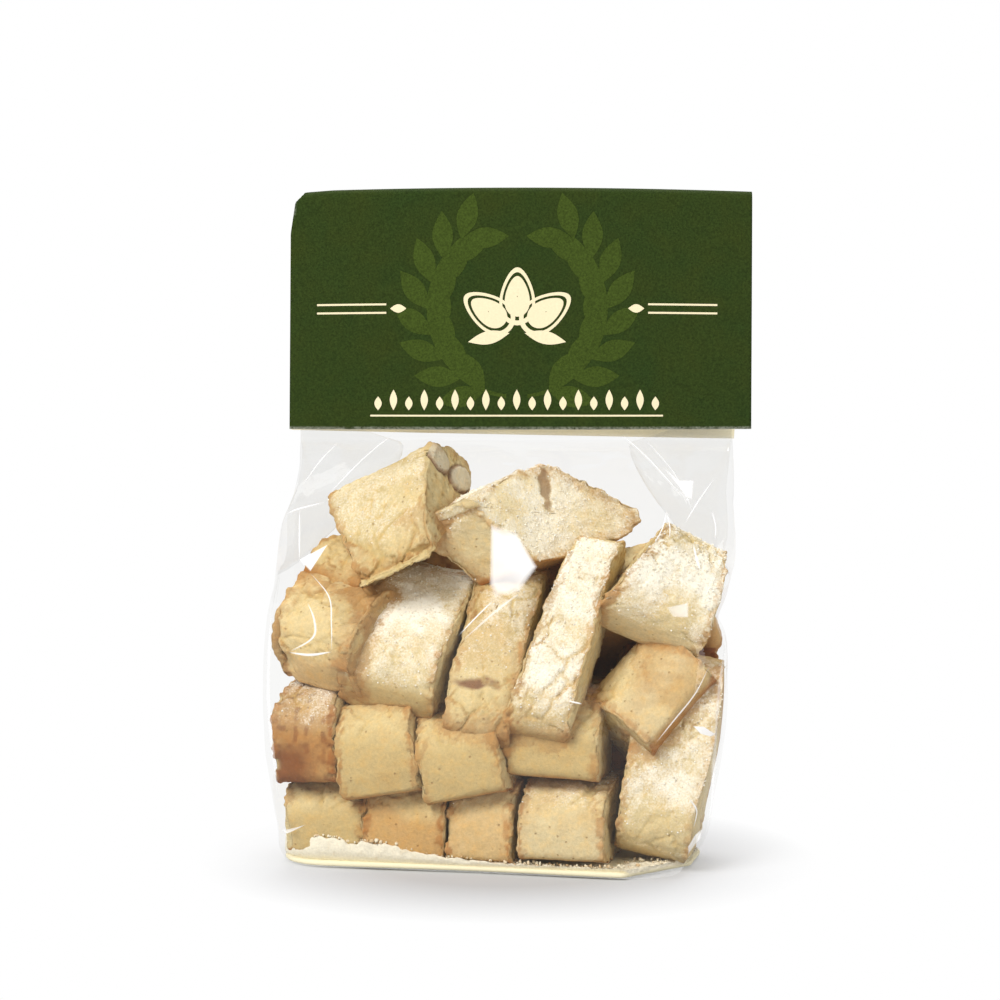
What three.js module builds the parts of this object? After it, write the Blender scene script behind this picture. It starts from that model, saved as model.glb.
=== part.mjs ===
// A clear side-gusset bag of almond biscuits, closed by a folded header card.
// Millimetres, +Z up. X runs across the front, which faces -Y. The finished group is shifted
// so that its origin is on the surface it stands on, at the middle of the whole object's box.
//
// The filled bag is one closed solid: a loft of level sections. Every section is a
// rectangle with rounded corners whose two side walls fold inwards where the bag
// flattens towards the header, as a side gusset does.
import * as THREE from "three";
import { mergeVertices } from "three/addons/utils/BufferGeometryUtils.js";

// ---- Driving dimensions ----
const CARD_WIDTH = 120;
const CARD_BOTTOM = 114; // height of the front panel's lower edge
const CARD_TOP = 176.5; // height of the outside of the fold
const CARD_THICKNESS = 0.5;
const CARD_CENTRE_X = 2.3;
const BACK_PANEL_DROP = { left: 0.9, right: 3.2 }; // the back panel hangs lower than the front one
const PANEL_GAP_TOP = 3.2; // between the panels' inner faces just under the fold
const PANEL_GAP_BOTTOM = 7.6; // and at the lower edge, where the bag's shoulders part them
const CARD_BOW = 1.6; // how far the card's middle stands forward of its side edges
const BOW_STARTS_BELOW = 18; // below the card's lower edge, the bag starts to follow that bow
const BOW_FULL_BELOW = 5; // and follows it fully
const CARD_FOLD_ARCH = 1.1; // how much higher the fold is in the middle than at the ends
const LEFT_LEAN = 0.6; // how far the card's left edge leans in on its way up to the fold
const CORNER_DENT = { inward: 1.5, downward: 0.4, reach: 11 }; // the knocked corner at the fold's left end

const NECK_CLEARANCE = 0.35; // between the bag and the card's inner faces
const NECK_TOP = CARD_TOP - 5.5; // just below the fold's rounding, also at the knocked corner
const GUSSET_HALF = 27; // flat width of one half of a side gusset
const GUSSET_SHUT = 9; // height over which the side folds are pressed shut
const GUSSET_SHUT_BELOW = 4; // how far below the card's lower edge that begins
const GUSSET_OPENS = 62; // height at which the side walls start to fold inwards

// ---- The bag's outline, each a smooth curve through a few [height, value] pairs ----
const LEFT_EDGE = [
  [0, -60.6], [8, -60.0], [16, -61.0], [33, -62.8], [48, -63.2], [62, -62.9], [80, -60.9], [92, -59.3],
  [98, -56.8], [104, -55.4], [114, -55.0], [176, -54.6],
];
const RIGHT_EDGE = [
  [0, 48.2], [8, 51.0], [16, 52.1], [33, 55.4], [50, 56.6], [59, 56.2], [65, 53.6],
  [73, 55.8], [83, 58.3], [92, 57.8], [112, 57.6], [176, 56.8],
];
const HALF_DEPTH = [
  [0, 22.4], [14, 25.4], [34, 28.2], [58, 28.8], [76, 27.2],
  [88, 23.2], [98, 16.8], [105, 10.2], [110.2, 3.25],
];
const CORNER_RADIUS = [[0, 13], [40, 12], [70, 10], [90, 6], [110, 1.4]];
const MAX_CORNER_SHARE = 0.8; // of the half depth, where the bag is thin
const BASE_TWIST = -12 * (Math.PI / 180); // the foot is turned a little against the header
const TWIST_ENDS = 84; // height at which that turn has died out

// ---- The foot: the film rolls up from a flat resting patch ----
const END_ROLL = { inset: 1.8, height: 5 };
const SIDE_ROLL = { inset: 2.4, height: 5 };
const ROLL_CURVE = 1.6; // 1 is a straight chamfer, 2 a round

// ---- The slices inside push rows of low bulges into the front and back ----
const BULGE = { height: 0.8, sliceWidth: 22, rowHeight: 26, bottom: 6, top: 84, evenShare: 0.6 };

// ---- Mesh resolution ----
const SHOULDER_START = 70; // height where the levels come closer together
const FACE_STEPS = 24;
const CORNER_STEPS = 4;
const GUSSET_STEPS = 4;
const FOOT_LEVELS = [0, 1, 2.6, 5, 8.5];
const BODY_STEP = 4.7;
const SHOULDER_STEP = 4.2;
const CARD_COLUMNS = 14;
const CARD_ROWS = 7;
const FOLD_STEPS = 8;

// A smooth function of height through [height, value] pairs, level beyond the ends.
function through(pairs) {
  const heights = pairs.map((pair) => pair[0]);
  const values = pairs.map((pair) => pair[1]);
  const curve = new THREE.CubicInterpolant(heights, values, 1);
  const last = heights.length - 1;
  return (height) => curve.evaluate(THREE.MathUtils.clamp(height, heights[0], heights[last]))[0];
}

const leftEdge = through(LEFT_EDGE);
const rightEdge = through(RIGHT_EDGE);
const cornerRadius = through(CORNER_RADIUS);
const bodyHalfDepth = through(HALF_DEPTH);

// Half the gap between the card's panels at a height: straight from the fold to the lower edge.
function halfPanelGap(height) {
  const share = (height - CARD_BOTTOM) / (CARD_TOP - CARD_BOTTOM);
  return THREE.MathUtils.lerp(PANEL_GAP_BOTTOM, PANEL_GAP_TOP, share) / 2;
}

// Half the bag's depth: its own curve below the card, and the card's gap less a clearance inside it.
function halfDepth(height) {
  if (height <= CARD_BOTTOM) return bodyHalfDepth(height);
  return Math.min(bodyHalfDepth(CARD_BOTTOM), halfPanelGap(height) - NECK_CLEARANCE);
}

// How far the middle of a side wall is folded inwards. The gusset keeps its flat width, so
// it folds in as the bag gets thinner, and the fold closes up again inside the header.
function gussetFold(height) {
  if (height < GUSSET_OPENS) return 0;
  const depth = halfDepth(height);
  const fold = depth < GUSSET_HALF ? Math.sqrt(GUSSET_HALF ** 2 - depth ** 2) : 0;
  const shut = (height - (CARD_BOTTOM - GUSSET_SHUT_BELOW)) / GUSSET_SHUT;
  return fold * THREE.MathUtils.clamp(1 - shut, 0, 1);
}

// How far the card stands forward of its side edges at a distance from its middle.
function cardBow(fromMiddle) {
  return CARD_BOW * (1 - (2 * fromMiddle / CARD_WIDTH) ** 2);
}

// How much of the knocked corner's dent a point takes: all at the very corner, none past its reach.
function cornerKnock(fromMiddle, height) {
  const along = (fromMiddle + CARD_WIDTH / 2) / CORNER_DENT.reach;
  const down = (CARD_TOP - height) / CORNER_DENT.reach;
  return Math.max(0, 1 - along) * Math.max(0, 1 - down);
}

// The forward shift that the bag's neck takes to follow the bowed card.
function neckShift(x, height) {
  const starts = CARD_BOTTOM - BOW_STARTS_BELOW;
  const share = THREE.MathUtils.smoothstep(height, starts, CARD_BOTTOM - BOW_FULL_BELOW);
  return share * cardBow(THREE.MathUtils.clamp(x - CARD_CENTRE_X, -CARD_WIDTH / 2, CARD_WIDTH / 2));
}

// The slices inside show as low bulges in rows, staggered from row to row. They fade out at
// the top, the foot and the corners.
function bulge(x, height, across) {
  const row = Math.floor((height - BULGE.bottom) / BULGE.rowHeight);
  const stagger = (row % 2) * (BULGE.sliceWidth / 2);
  const alongRow = Math.cos((2 * Math.PI * (x + stagger)) / BULGE.sliceWidth);
  const upRow = Math.sin((Math.PI * (height - BULGE.bottom)) / BULGE.rowHeight) ** 2;
  const inside = height > BULGE.bottom && height < BULGE.top ? 1 : 0;
  const swell = BULGE.evenShare + (1 - BULGE.evenShare) * alongRow;
  return BULGE.height * swell * upRow * inside * (1 - across ** 4);
}

// One level section before twist and foot: points [x, y] all round, counter-clockwise from above.
function section(height) {
  const left = leftEdge(height);
  const right = rightEdge(height);
  const depth = halfDepth(height);
  const radius = Math.min(cornerRadius(height), depth * MAX_CORNER_SHARE);
  const fold = gussetFold(height);
  const middle = (left + right) / 2;
  const half = (right - left) / 2;
  const points = [];
  for (const side of [-1, 1]) {
    // The face: front on the first pass, back on the second. It ends where the corner starts.
    for (let i = 0; i < FACE_STEPS; i++) {
      const across = -1 + (2 * i) / FACE_STEPS;
      const x = middle - side * across * (half - radius);
      points.push([x, side * (depth + bulge(x, height, across))]);
    }
    // The corner: a quarter turn.
    for (let i = 0; i < CORNER_STEPS; i++) {
      const turn = (Math.PI / 2) * (i / CORNER_STEPS);
      points.push([
        middle - side * (half - radius + radius * Math.sin(turn)),
        side * (depth - radius + radius * Math.cos(turn)),
      ]);
    }
    // The side wall: straight from the corner to its inner fold, and out again to the next corner.
    for (let i = 0; i < 2 * GUSSET_STEPS; i++) {
      const down = 1 - i / GUSSET_STEPS;
      points.push([
        middle - side * (half - fold * (1 - Math.abs(down))),
        side * down * (depth - radius),
      ]);
    }
    // The other corner on this side.
    for (let i = 0; i < CORNER_STEPS; i++) {
      const turn = (Math.PI / 2) * (i / CORNER_STEPS);
      points.push([
        middle - side * (half - radius + radius * Math.cos(turn)),
        -side * (depth - radius + radius * Math.sin(turn)),
      ]);
    }
  }
  return points;
}

// How far a foot point is drawn in at a height, for one roll.
function rollInset(roll, height) {
  return roll.inset * Math.max(0, 1 - height / roll.height) ** ROLL_CURVE;
}

// A finished ring: the section, drawn in at the foot, bent to follow the card, and twisted.
function ring(height) {
  const middle = (leftEdge(height) + rightEdge(height)) / 2;
  const half = (rightEdge(height) - leftEdge(height)) / 2;
  const depth = halfDepth(height);
  const shrinkX = (half - rollInset(END_ROLL, height)) / half;
  const shrinkY = (depth - rollInset(SIDE_ROLL, height)) / depth;
  const turn = BASE_TWIST * (1 - THREE.MathUtils.smoothstep(height, 0, TWIST_ENDS));
  return section(height).map(([x, y]) => {
    const fromMiddle = (x - middle) * shrinkX;
    const drawn = y * shrinkY - neckShift(x, height);
    return new THREE.Vector3(
      middle + fromMiddle * Math.cos(turn) - drawn * Math.sin(turn),
      fromMiddle * Math.sin(turn) + drawn * Math.cos(turn),
      height,
    );
  });
}

// The heights of the rings, from the resting patch to the top of the neck.
function ringHeights() {
  const heights = [...FOOT_LEVELS];
  const climb = (from, to, step) => {
    const steps = Math.round((to - from) / step);
    for (let i = 1; i <= steps; i++) heights.push(THREE.MathUtils.lerp(from, to, i / steps));
  };
  climb(heights[heights.length - 1], SHOULDER_START, BODY_STEP);
  climb(SHOULDER_START, CARD_BOTTOM, SHOULDER_STEP);
  const shut = CARD_BOTTOM - GUSSET_SHUT_BELOW + GUSSET_SHUT;
  heights.push((CARD_BOTTOM + shut) / 2, shut, (shut + NECK_TOP) / 2, NECK_TOP);
  return heights;
}

// A closed mesh from rings of points, with a fan over each end.
function loft(rings) {
  const around = rings[0].length;
  const positions = [];
  const indices = [];
  for (const points of rings) for (const point of points) positions.push(point.x, point.y, point.z);
  for (let level = 0; level < rings.length - 1; level++) {
    for (let i = 0; i < around; i++) {
      const next = (i + 1) % around;
      const low = level * around;
      const high = low + around;
      indices.push(low + i, low + next, high + next, low + i, high + next, high + i);
    }
  }
  for (const [level, flip] of [[0, true], [rings.length - 1, false]]) {
    const centre = rings[level]
      .reduce((sum, point) => sum.add(point), new THREE.Vector3())
      .divideScalar(around);
    const hub = positions.length / 3;
    positions.push(centre.x, centre.y, centre.z);
    for (let i = 0; i < around; i++) {
      const here = level * around + i;
      const next = level * around + ((i + 1) % around);
      indices.push(...(flip ? [hub, next, here] : [hub, here, next]));
    }
  }
  const geometry = new THREE.BufferGeometry();
  geometry.setAttribute("position", new THREE.Float32BufferAttribute(positions, 3));
  geometry.setIndex(indices);
  return geometry;
}

// The filled bag with its neck.
function bag() {
  const geometry = loft(ringHeights().map(ring));
  geometry.computeVertexNormals();
  return new THREE.Mesh(
    geometry,
    new THREE.MeshStandardMaterial({ color: 0xead9ad, roughness: 0.35, metalness: 0 }),
  );
}

// The path of the card seen from its side, as [y, z] with the outward normal: up the back
// panel, over the fold and down the front panel, on the card's outer face.
function cardProfile() {
  const outerHalf = (height) => halfPanelGap(height) + CARD_THICKNESS;
  const foldHalf = PANEL_GAP_TOP / 2 + CARD_THICKNESS;
  const foldBase = CARD_TOP - foldHalf;
  const profile = [];
  for (let i = 0; i < CARD_ROWS; i++) {
    const height = THREE.MathUtils.lerp(CARD_BOTTOM, foldBase, i / CARD_ROWS);
    profile.push({ y: outerHalf(height), z: height, ny: 1, nz: 0, back: 1 - i / CARD_ROWS });
  }
  for (let i = 0; i <= FOLD_STEPS; i++) {
    const turn = Math.PI * (i / FOLD_STEPS);
    profile.push({
      y: foldHalf * Math.cos(turn),
      z: foldBase + foldHalf * Math.sin(turn),
      ny: Math.cos(turn),
      nz: Math.sin(turn),
      back: 0,
    });
  }
  for (let i = 1; i <= CARD_ROWS; i++) {
    const height = THREE.MathUtils.lerp(foldBase, CARD_BOTTOM, i / CARD_ROWS);
    profile.push({ y: -outerHalf(height), z: height, ny: -1, nz: 0, back: 0 });
  }
  return profile;
}

// The folded header card: its profile carried across the width, bowed forward and arched.
function headerCard() {
  const profile = cardProfile();
  const rings = [];
  for (let column = 0; column <= CARD_COLUMNS; column++) {
    const across = -1 + (2 * column) / CARD_COLUMNS;
    const fromMiddle = (across * CARD_WIDTH) / 2;
    const place = (step, depth) => {
      const y = step.y - step.ny * depth;
      const z = step.z - step.nz * depth;
      const up = (z - CARD_BOTTOM) / (CARD_TOP - CARD_BOTTOM);
      const arch = CARD_FOLD_ARCH * up * (1 - across ** 2) - CARD_FOLD_ARCH * up;
      const { left, right } = BACK_PANEL_DROP;
      const drop = step.back * THREE.MathUtils.lerp(left, right, (across + 1) / 2);
      const knock = cornerKnock(fromMiddle, z);
      return new THREE.Vector3(
        CARD_CENTRE_X + fromMiddle + CORNER_DENT.inward * knock + LEFT_LEAN * up * (1 - across) / 2,
        y - cardBow(fromMiddle),
        z + arch - drop - CORNER_DENT.downward * knock,
      );
    };
    rings.push([
      ...profile.map((step) => place(step, 0)),
      ...profile.map((step) => place(step, CARD_THICKNESS)).reverse(),
    ]);
  }
  const geometry = stripLoft(rings, profile.length);
  geometry.computeVertexNormals();
  return new THREE.Mesh(
    geometry,
    new THREE.MeshStandardMaterial({ color: 0x2c4a1c, roughness: 0.75, metalness: 0 }),
  );
}

// A closed mesh from outlines of a thin strip: each outline runs along the outer face and
// back along the inner one, so an end is closed by quads between the two faces.
function stripLoft(rings, faceLength) {
  const around = rings[0].length;
  const positions = [];
  const indices = [];
  for (const points of rings) for (const point of points) positions.push(point.x, point.y, point.z);
  for (let column = 0; column < rings.length - 1; column++) {
    for (let i = 0; i < around; i++) {
      const here = column * around + i;
      const next = column * around + ((i + 1) % around);
      indices.push(here, next, next + around, here, next + around, here + around);
    }
  }
  const last = (rings.length - 1) * around;
  for (let i = 0; i < faceLength - 1; i++) {
    const inner = around - 1 - i;
    indices.push(i, inner, inner - 1, i, inner - 1, i + 1);
    indices.push(last + i, last + inner - 1, last + inner, last + i, last + i + 1, last + inner - 1);
  }
  const geometry = new THREE.BufferGeometry();
  geometry.setAttribute("position", new THREE.Float32BufferAttribute(positions, 3));
  geometry.setIndex(indices);
  return mergeVertices(geometry);
}

const pack = new THREE.Group();
const filledBag = bag();
filledBag.name = "bag";
const card = headerCard();
card.name = "header_card";
pack.add(filledBag, card);

// The origin goes to the middle of the whole box, on the resting patch.
const middle = new THREE.Box3().setFromObject(pack).getCenter(new THREE.Vector3());
pack.position.set(-middle.x, -middle.y, 0);

export default pack;
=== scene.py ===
"""A clear bag of almond biscuits, closed by a folded green header card.

Every size and place in the classes below is in millimetres in the maker's own frame: +Z up,
+X to the right across the front, the front facing -Y, and the resting surface at z = 0.
PackFrame shifts the finished points to the loaded frame and turns them into metres.
"""

import logging
import math
from collections.abc import Sequence
from dataclasses import dataclass, field
from enum import Enum

import bpy
import numpy as np
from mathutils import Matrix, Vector


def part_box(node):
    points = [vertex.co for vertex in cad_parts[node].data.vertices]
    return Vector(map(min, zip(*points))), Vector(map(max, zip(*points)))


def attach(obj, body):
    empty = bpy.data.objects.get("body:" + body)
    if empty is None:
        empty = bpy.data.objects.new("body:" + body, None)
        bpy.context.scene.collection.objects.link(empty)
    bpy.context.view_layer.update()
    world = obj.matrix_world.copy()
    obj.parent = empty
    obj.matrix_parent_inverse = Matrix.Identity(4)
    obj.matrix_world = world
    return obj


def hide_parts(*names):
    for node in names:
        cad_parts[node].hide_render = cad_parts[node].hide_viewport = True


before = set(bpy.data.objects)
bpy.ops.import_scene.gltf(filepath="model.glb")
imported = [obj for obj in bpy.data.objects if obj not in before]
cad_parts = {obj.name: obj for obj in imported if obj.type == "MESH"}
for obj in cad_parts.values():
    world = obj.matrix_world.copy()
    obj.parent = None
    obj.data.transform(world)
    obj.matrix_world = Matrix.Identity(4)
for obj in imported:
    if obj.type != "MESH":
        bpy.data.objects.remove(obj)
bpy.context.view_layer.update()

MM = 0.001
SEED_STEP = np.array([71.3, 33.7, 19.1])  # moves each slice to its own part of the noise
ROOT = "root"
log = logging.getLogger("almond_biscuit_bag")

Triple = tuple[float, float, float]
Socket, Material, Object = bpy.types.NodeSocket, bpy.types.Material, bpy.types.Object
Array = np.ndarray
Fields = dict[str, Array]
Pair = tuple[float, float]
Pairs = Sequence[Pair]


# ---- Curves and noise, all on whole arrays ----


def smoothstep(value: Array, low: float, high: float) -> Array:
    """Rises smoothly from 0 to 1: t*t*(3 - 2t) with t = (value - low) / (high - low), held to 0..1.

    Args:
        value: the numbers to look up.
        low: where the rise starts.
        high: where it ends.

    Returns:
        An array like value, between 0 and 1.
    """
    share = np.clip((np.asarray(value, float) - low) / (high - low), 0.0, 1.0)
    return share * share * (3.0 - 2.0 * share)


def through(pairs: Pairs, where: Array) -> Array:
    """A smooth curve through (place, value) pairs: cubic Hermite spans with chord slopes.

    Args:
        pairs: the points, in rising order of place.
        where: the places to look up; beyond the ends the curve is level.

    Returns:
        The curve's value at each place.
    """
    places = np.array([pair[0] for pair in pairs], float)
    values = np.array([pair[1] for pair in pairs], float)
    slopes = np.gradient(values, places)
    spot = np.clip(np.asarray(where, float), places[0], places[-1])
    span = np.clip(np.searchsorted(places, spot, side="right") - 1, 0, len(places) - 2)
    width = places[span + 1] - places[span]
    t = (spot - places[span]) / width
    return (
        (2 * t**3 - 3 * t**2 + 1) * values[span]
        + (t**3 - 2 * t**2 + t) * width * slopes[span]
        + (3 * t**2 - 2 * t**3) * values[span + 1]
        + (t**3 - t**2) * width * slopes[span + 1]
    )


def lattice_value(cell: Array, seed: int) -> Array:
    """A fixed pseudo-random number in 0..1 for each whole-number cell, by integer hashing.

    Args:
        cell: whole numbers, shape (..., 3).
        seed: picks another set of numbers.

    Returns:
        One number for each cell, shape (...).
    """
    mask = 0xFFFFFFFF
    whole = cell.astype(np.int64)
    mixed = (whole[..., 0] * 73856093) ^ (whole[..., 1] * 19349663) ^ (whole[..., 2] * 83492791)
    mixed = (mixed ^ (seed * 2654435761)) & mask
    for shift, factor in ((15, 0x2C1B3C6D), (12, 0x297A2D39)):
        mixed = ((mixed ^ (mixed >> shift)) * factor) & mask
    return (mixed ^ (mixed >> 15)) / mask


def value_noise(points: Array, cell_size: float, seed: int) -> Array:
    """Smooth noise in -1..1: the cell corners' values blended by the quintic 6t^5 - 15t^4 + 10t^3.

    Args:
        points: places, shape (..., 3).
        cell_size: size of a lattice cell, in the points' unit.
        seed: picks another pattern.

    Returns:
        One number for each point.
    """
    scaled = np.asarray(points, float) / cell_size
    base = np.floor(scaled)
    t = scaled - base
    ease = t * t * t * (t * (t * 6.0 - 15.0) + 10.0)
    total = np.zeros(scaled.shape[:-1])
    for corner in np.ndindex(2, 2, 2):
        step = np.array(corner, float)
        weight = np.prod(np.where(step > 0, ease, 1.0 - ease), axis=-1)
        total += weight * lattice_value(base + step, seed)
    return total * 2.0 - 1.0


def layered_noise(points: Array, cell_size: float, seed: int, layers: int = 3) -> Array:
    """A sum of value noises: each layer has half the cell size and half the height of the one before.

    Args:
        points: places, shape (..., 3).
        cell_size: cell size of the coarsest layer.
        seed: picks another pattern.
        layers: how many layers are summed.

    Returns:
        One number for each point, in about -1..1.
    """
    total = np.zeros(np.shape(points)[:-1])
    height = 1.0
    for layer in range(layers):
        total += height * value_noise(points, cell_size / 2**layer, seed + 17 * layer)
        height *= 0.5
    return total / (2.0 - 2.0 * height)


def cell_distances(points: Array, cell_size: float, seed: int) -> tuple[Array, ...]:
    """Distances to the nearest and second nearest of one scattered seed point in each lattice cell.

    Args:
        points: places, shape (..., 3).
        cell_size: size of a lattice cell.
        seed: picks another scatter.

    Returns:
        The two distances, in cells, and a fixed number in 0..1 of the nearest seed point.
    """
    scaled = np.asarray(points, float) / cell_size
    base = np.floor(scaled)
    nearest = np.full(scaled.shape[:-1], 9.0)
    second, mark = nearest.copy(), nearest.copy()
    for offset in np.ndindex(3, 3, 3):
        cell = base + np.array(offset, float) - 1.0
        jitter = np.stack([lattice_value(cell, seed + axis) for axis in range(3)], axis=-1)
        gap = np.linalg.norm(cell + jitter - scaled, axis=-1)
        closer = gap < nearest
        second = np.where(closer, nearest, np.minimum(second, gap))
        mark = np.where(closer, jitter[..., 0], mark)
        nearest = np.where(closer, gap, nearest)
    return nearest, second, mark


def turned(u: Array, v: Array, angle: float | Array) -> tuple[Array, Array]:
    """How far places (u, v) lie along a direction at that angle, and how far to the left of it."""
    return u * np.cos(angle) + v * np.sin(angle), v * np.cos(angle) - u * np.sin(angle)


def unit(vector: Sequence[float]) -> Array:
    """The vector at length 1."""
    array = np.asarray(vector, float)
    return array / np.linalg.norm(array)


# ---- Meshes from arrays ----


@dataclass(frozen=True)
class PackFrame:
    """Turns the maker's millimetres into the loaded frame's metres."""

    shift: tuple[float, float]

    @classmethod
    def from_card(cls, card_centre_x: float, card_middle_y: float) -> "PackFrame":
        """Finds the shift that puts the maker's header card on the loaded one.

        Args:
            card_centre_x: the card's middle across, in the maker's frame.
            card_middle_y: the middle of the card's box in depth, in the maker's frame.

        Returns:
            The frame.
        """
        low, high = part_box("header_card")
        middle = [(low[axis] + high[axis]) / 2 / MM for axis in range(2)]
        return cls((middle[0] - card_centre_x, middle[1] - card_middle_y))

    def to_metres(self, points: Array) -> Array:
        """Shifts points in millimetres and gives them in metres."""
        return (np.asarray(points, float) + np.array([*self.shift, 0.0])) * MM


def grid_faces(rows: int, columns: int, wrap: bool, start: int = 0) -> Array:
    """The quads of a grid whose points run along its rows.

    Args:
        rows: number of rows of points.
        columns: number of points in a row.
        wrap: whether the last column joins the first one.
        start: index of the first point.

    Returns:
        Point indices, shape (quads, 4).
    """
    row = np.arange(rows - 1)[:, None]
    column = np.arange(columns if wrap else columns - 1)[None, :]
    here = row * columns + column
    beside = row * columns + (column + 1) % columns
    quads = np.stack([here, beside, beside + columns, here + columns], axis=-1)
    return quads.reshape(-1, 4) + start


def fan_faces(hub: int, ring: Array, flip: bool) -> Array:
    """The triangles from a hub point to a closed ring of point indices, turned the other way by flip."""
    hubs, onward = np.full_like(ring, hub), np.roll(ring, -1)
    return np.stack([hubs, onward, ring] if flip else [hubs, ring, onward], axis=-1)


def closed_faces(rows: int, columns: int, flip: bool = False) -> list[Array]:
    """The faces of a grid that wraps in its columns and is closed by two hub points after it.

    Args:
        rows: number of rows of points.
        columns: number of points in a row.
        flip: whether the faces turn the other way.

    Returns:
        The quads, the fan to the first row's hub and the fan to the last row's hub.
    """
    count = rows * columns
    quads = grid_faces(rows, columns, wrap=True)
    return [
        quads[:, ::-1] if flip else quads,
        fan_faces(count, np.arange(columns), flip=not flip),
        fan_faces(count + 1, np.arange(count - columns, count), flip=flip),
    ]


def even_ring(ring: Array, count: int) -> Array:
    """Points at even distances along a closed ring of straight pieces.

    Args:
        ring: the ring's own points, shape (points, 2).
        count: how many points are wanted.

    Returns:
        Points, shape (count, 2), from the ring's first point on.
    """
    closed = np.concatenate([ring, ring[:1]])
    travelled = np.concatenate([[0.0], np.cumsum(np.linalg.norm(np.diff(closed, axis=0), axis=1))])
    even = np.linspace(0.0, travelled[-1], count, endpoint=False)
    return np.stack([np.interp(even, travelled, closed[:, axis]) for axis in range(2)], axis=-1)


def build_object(
    name: str,
    points: Array,
    faces: Sequence[Array],
    materials: Sequence[Material],
    numbers: dict[str, Array] | None = None,
    colours: dict[str, Array] | None = None,
    face_material: Array | None = None,
    smooth: bool = True,
) -> Object:
    """Makes one mesh object from arrays and puts it in the scene.

    Args:
        name: the object's name.
        points: places in metres, shape (points, 3).
        faces: arrays of point indices, each of shape (faces, corners).
        materials: the object's materials, in slot order.
        numbers: one number per point for each named attribute.
        colours: one red, green and blue per point for each named attribute.
        face_material: material slot of each face, in the order of faces.
        smooth: whether the faces are shaded smooth.

    Returns:
        The new object, which sits at the origin.
    """
    mesh = bpy.data.meshes.new(name)
    mesh.vertices.add(len(points))
    mesh.vertices.foreach_set("co", np.asarray(points, np.float32).ravel())
    corners = np.concatenate([block.ravel() for block in faces]).astype(np.int32)
    sizes = np.concatenate([np.full(len(block), block.shape[1]) for block in faces])
    starts = np.concatenate([[0], np.cumsum(sizes)[:-1]]).astype(np.int32)
    mesh.loops.add(len(corners))
    mesh.loops.foreach_set("vertex_index", corners)
    mesh.polygons.add(len(starts))
    mesh.polygons.foreach_set("loop_start", starts)
    mesh.polygons.foreach_set("use_smooth", np.full(len(starts), smooth))
    if face_material is not None:
        mesh.polygons.foreach_set("material_index", np.asarray(face_material, np.int32))
    mesh.update(calc_edges=True)
    for label, values in (numbers or {}).items():
        layer = mesh.attributes.new(label, "FLOAT", "POINT")
        layer.data.foreach_set("value", np.asarray(values, np.float32).ravel())
    for label, values in (colours or {}).items():
        layer = mesh.color_attributes.new(label, "FLOAT_COLOR", "POINT")
        full = np.concatenate([values, np.ones((len(values), 1))], axis=1)
        layer.data.foreach_set("color", np.asarray(full, np.float32).ravel())
    for material in materials:
        mesh.materials.append(material)
    obj = bpy.data.objects.new(name, mesh)
    bpy.context.scene.collection.objects.link(obj)
    return obj


def grid_normals(points: Array) -> Array:
    """Unit normals of a grid that wraps in its columns: the cross product of its two differences.

    Args:
        points: places, shape (rows, columns, 3).

    Returns:
        Normals of the same shape.
    """
    along = np.gradient(points, axis=0)
    across = (np.roll(points, -1, axis=1) - np.roll(points, 1, axis=1)) / 2
    normal = np.cross(across, along)
    length = np.linalg.norm(normal, axis=-1, keepdims=True)
    return normal / np.maximum(length, 1e-9)


# ---- Shader building ----


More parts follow.
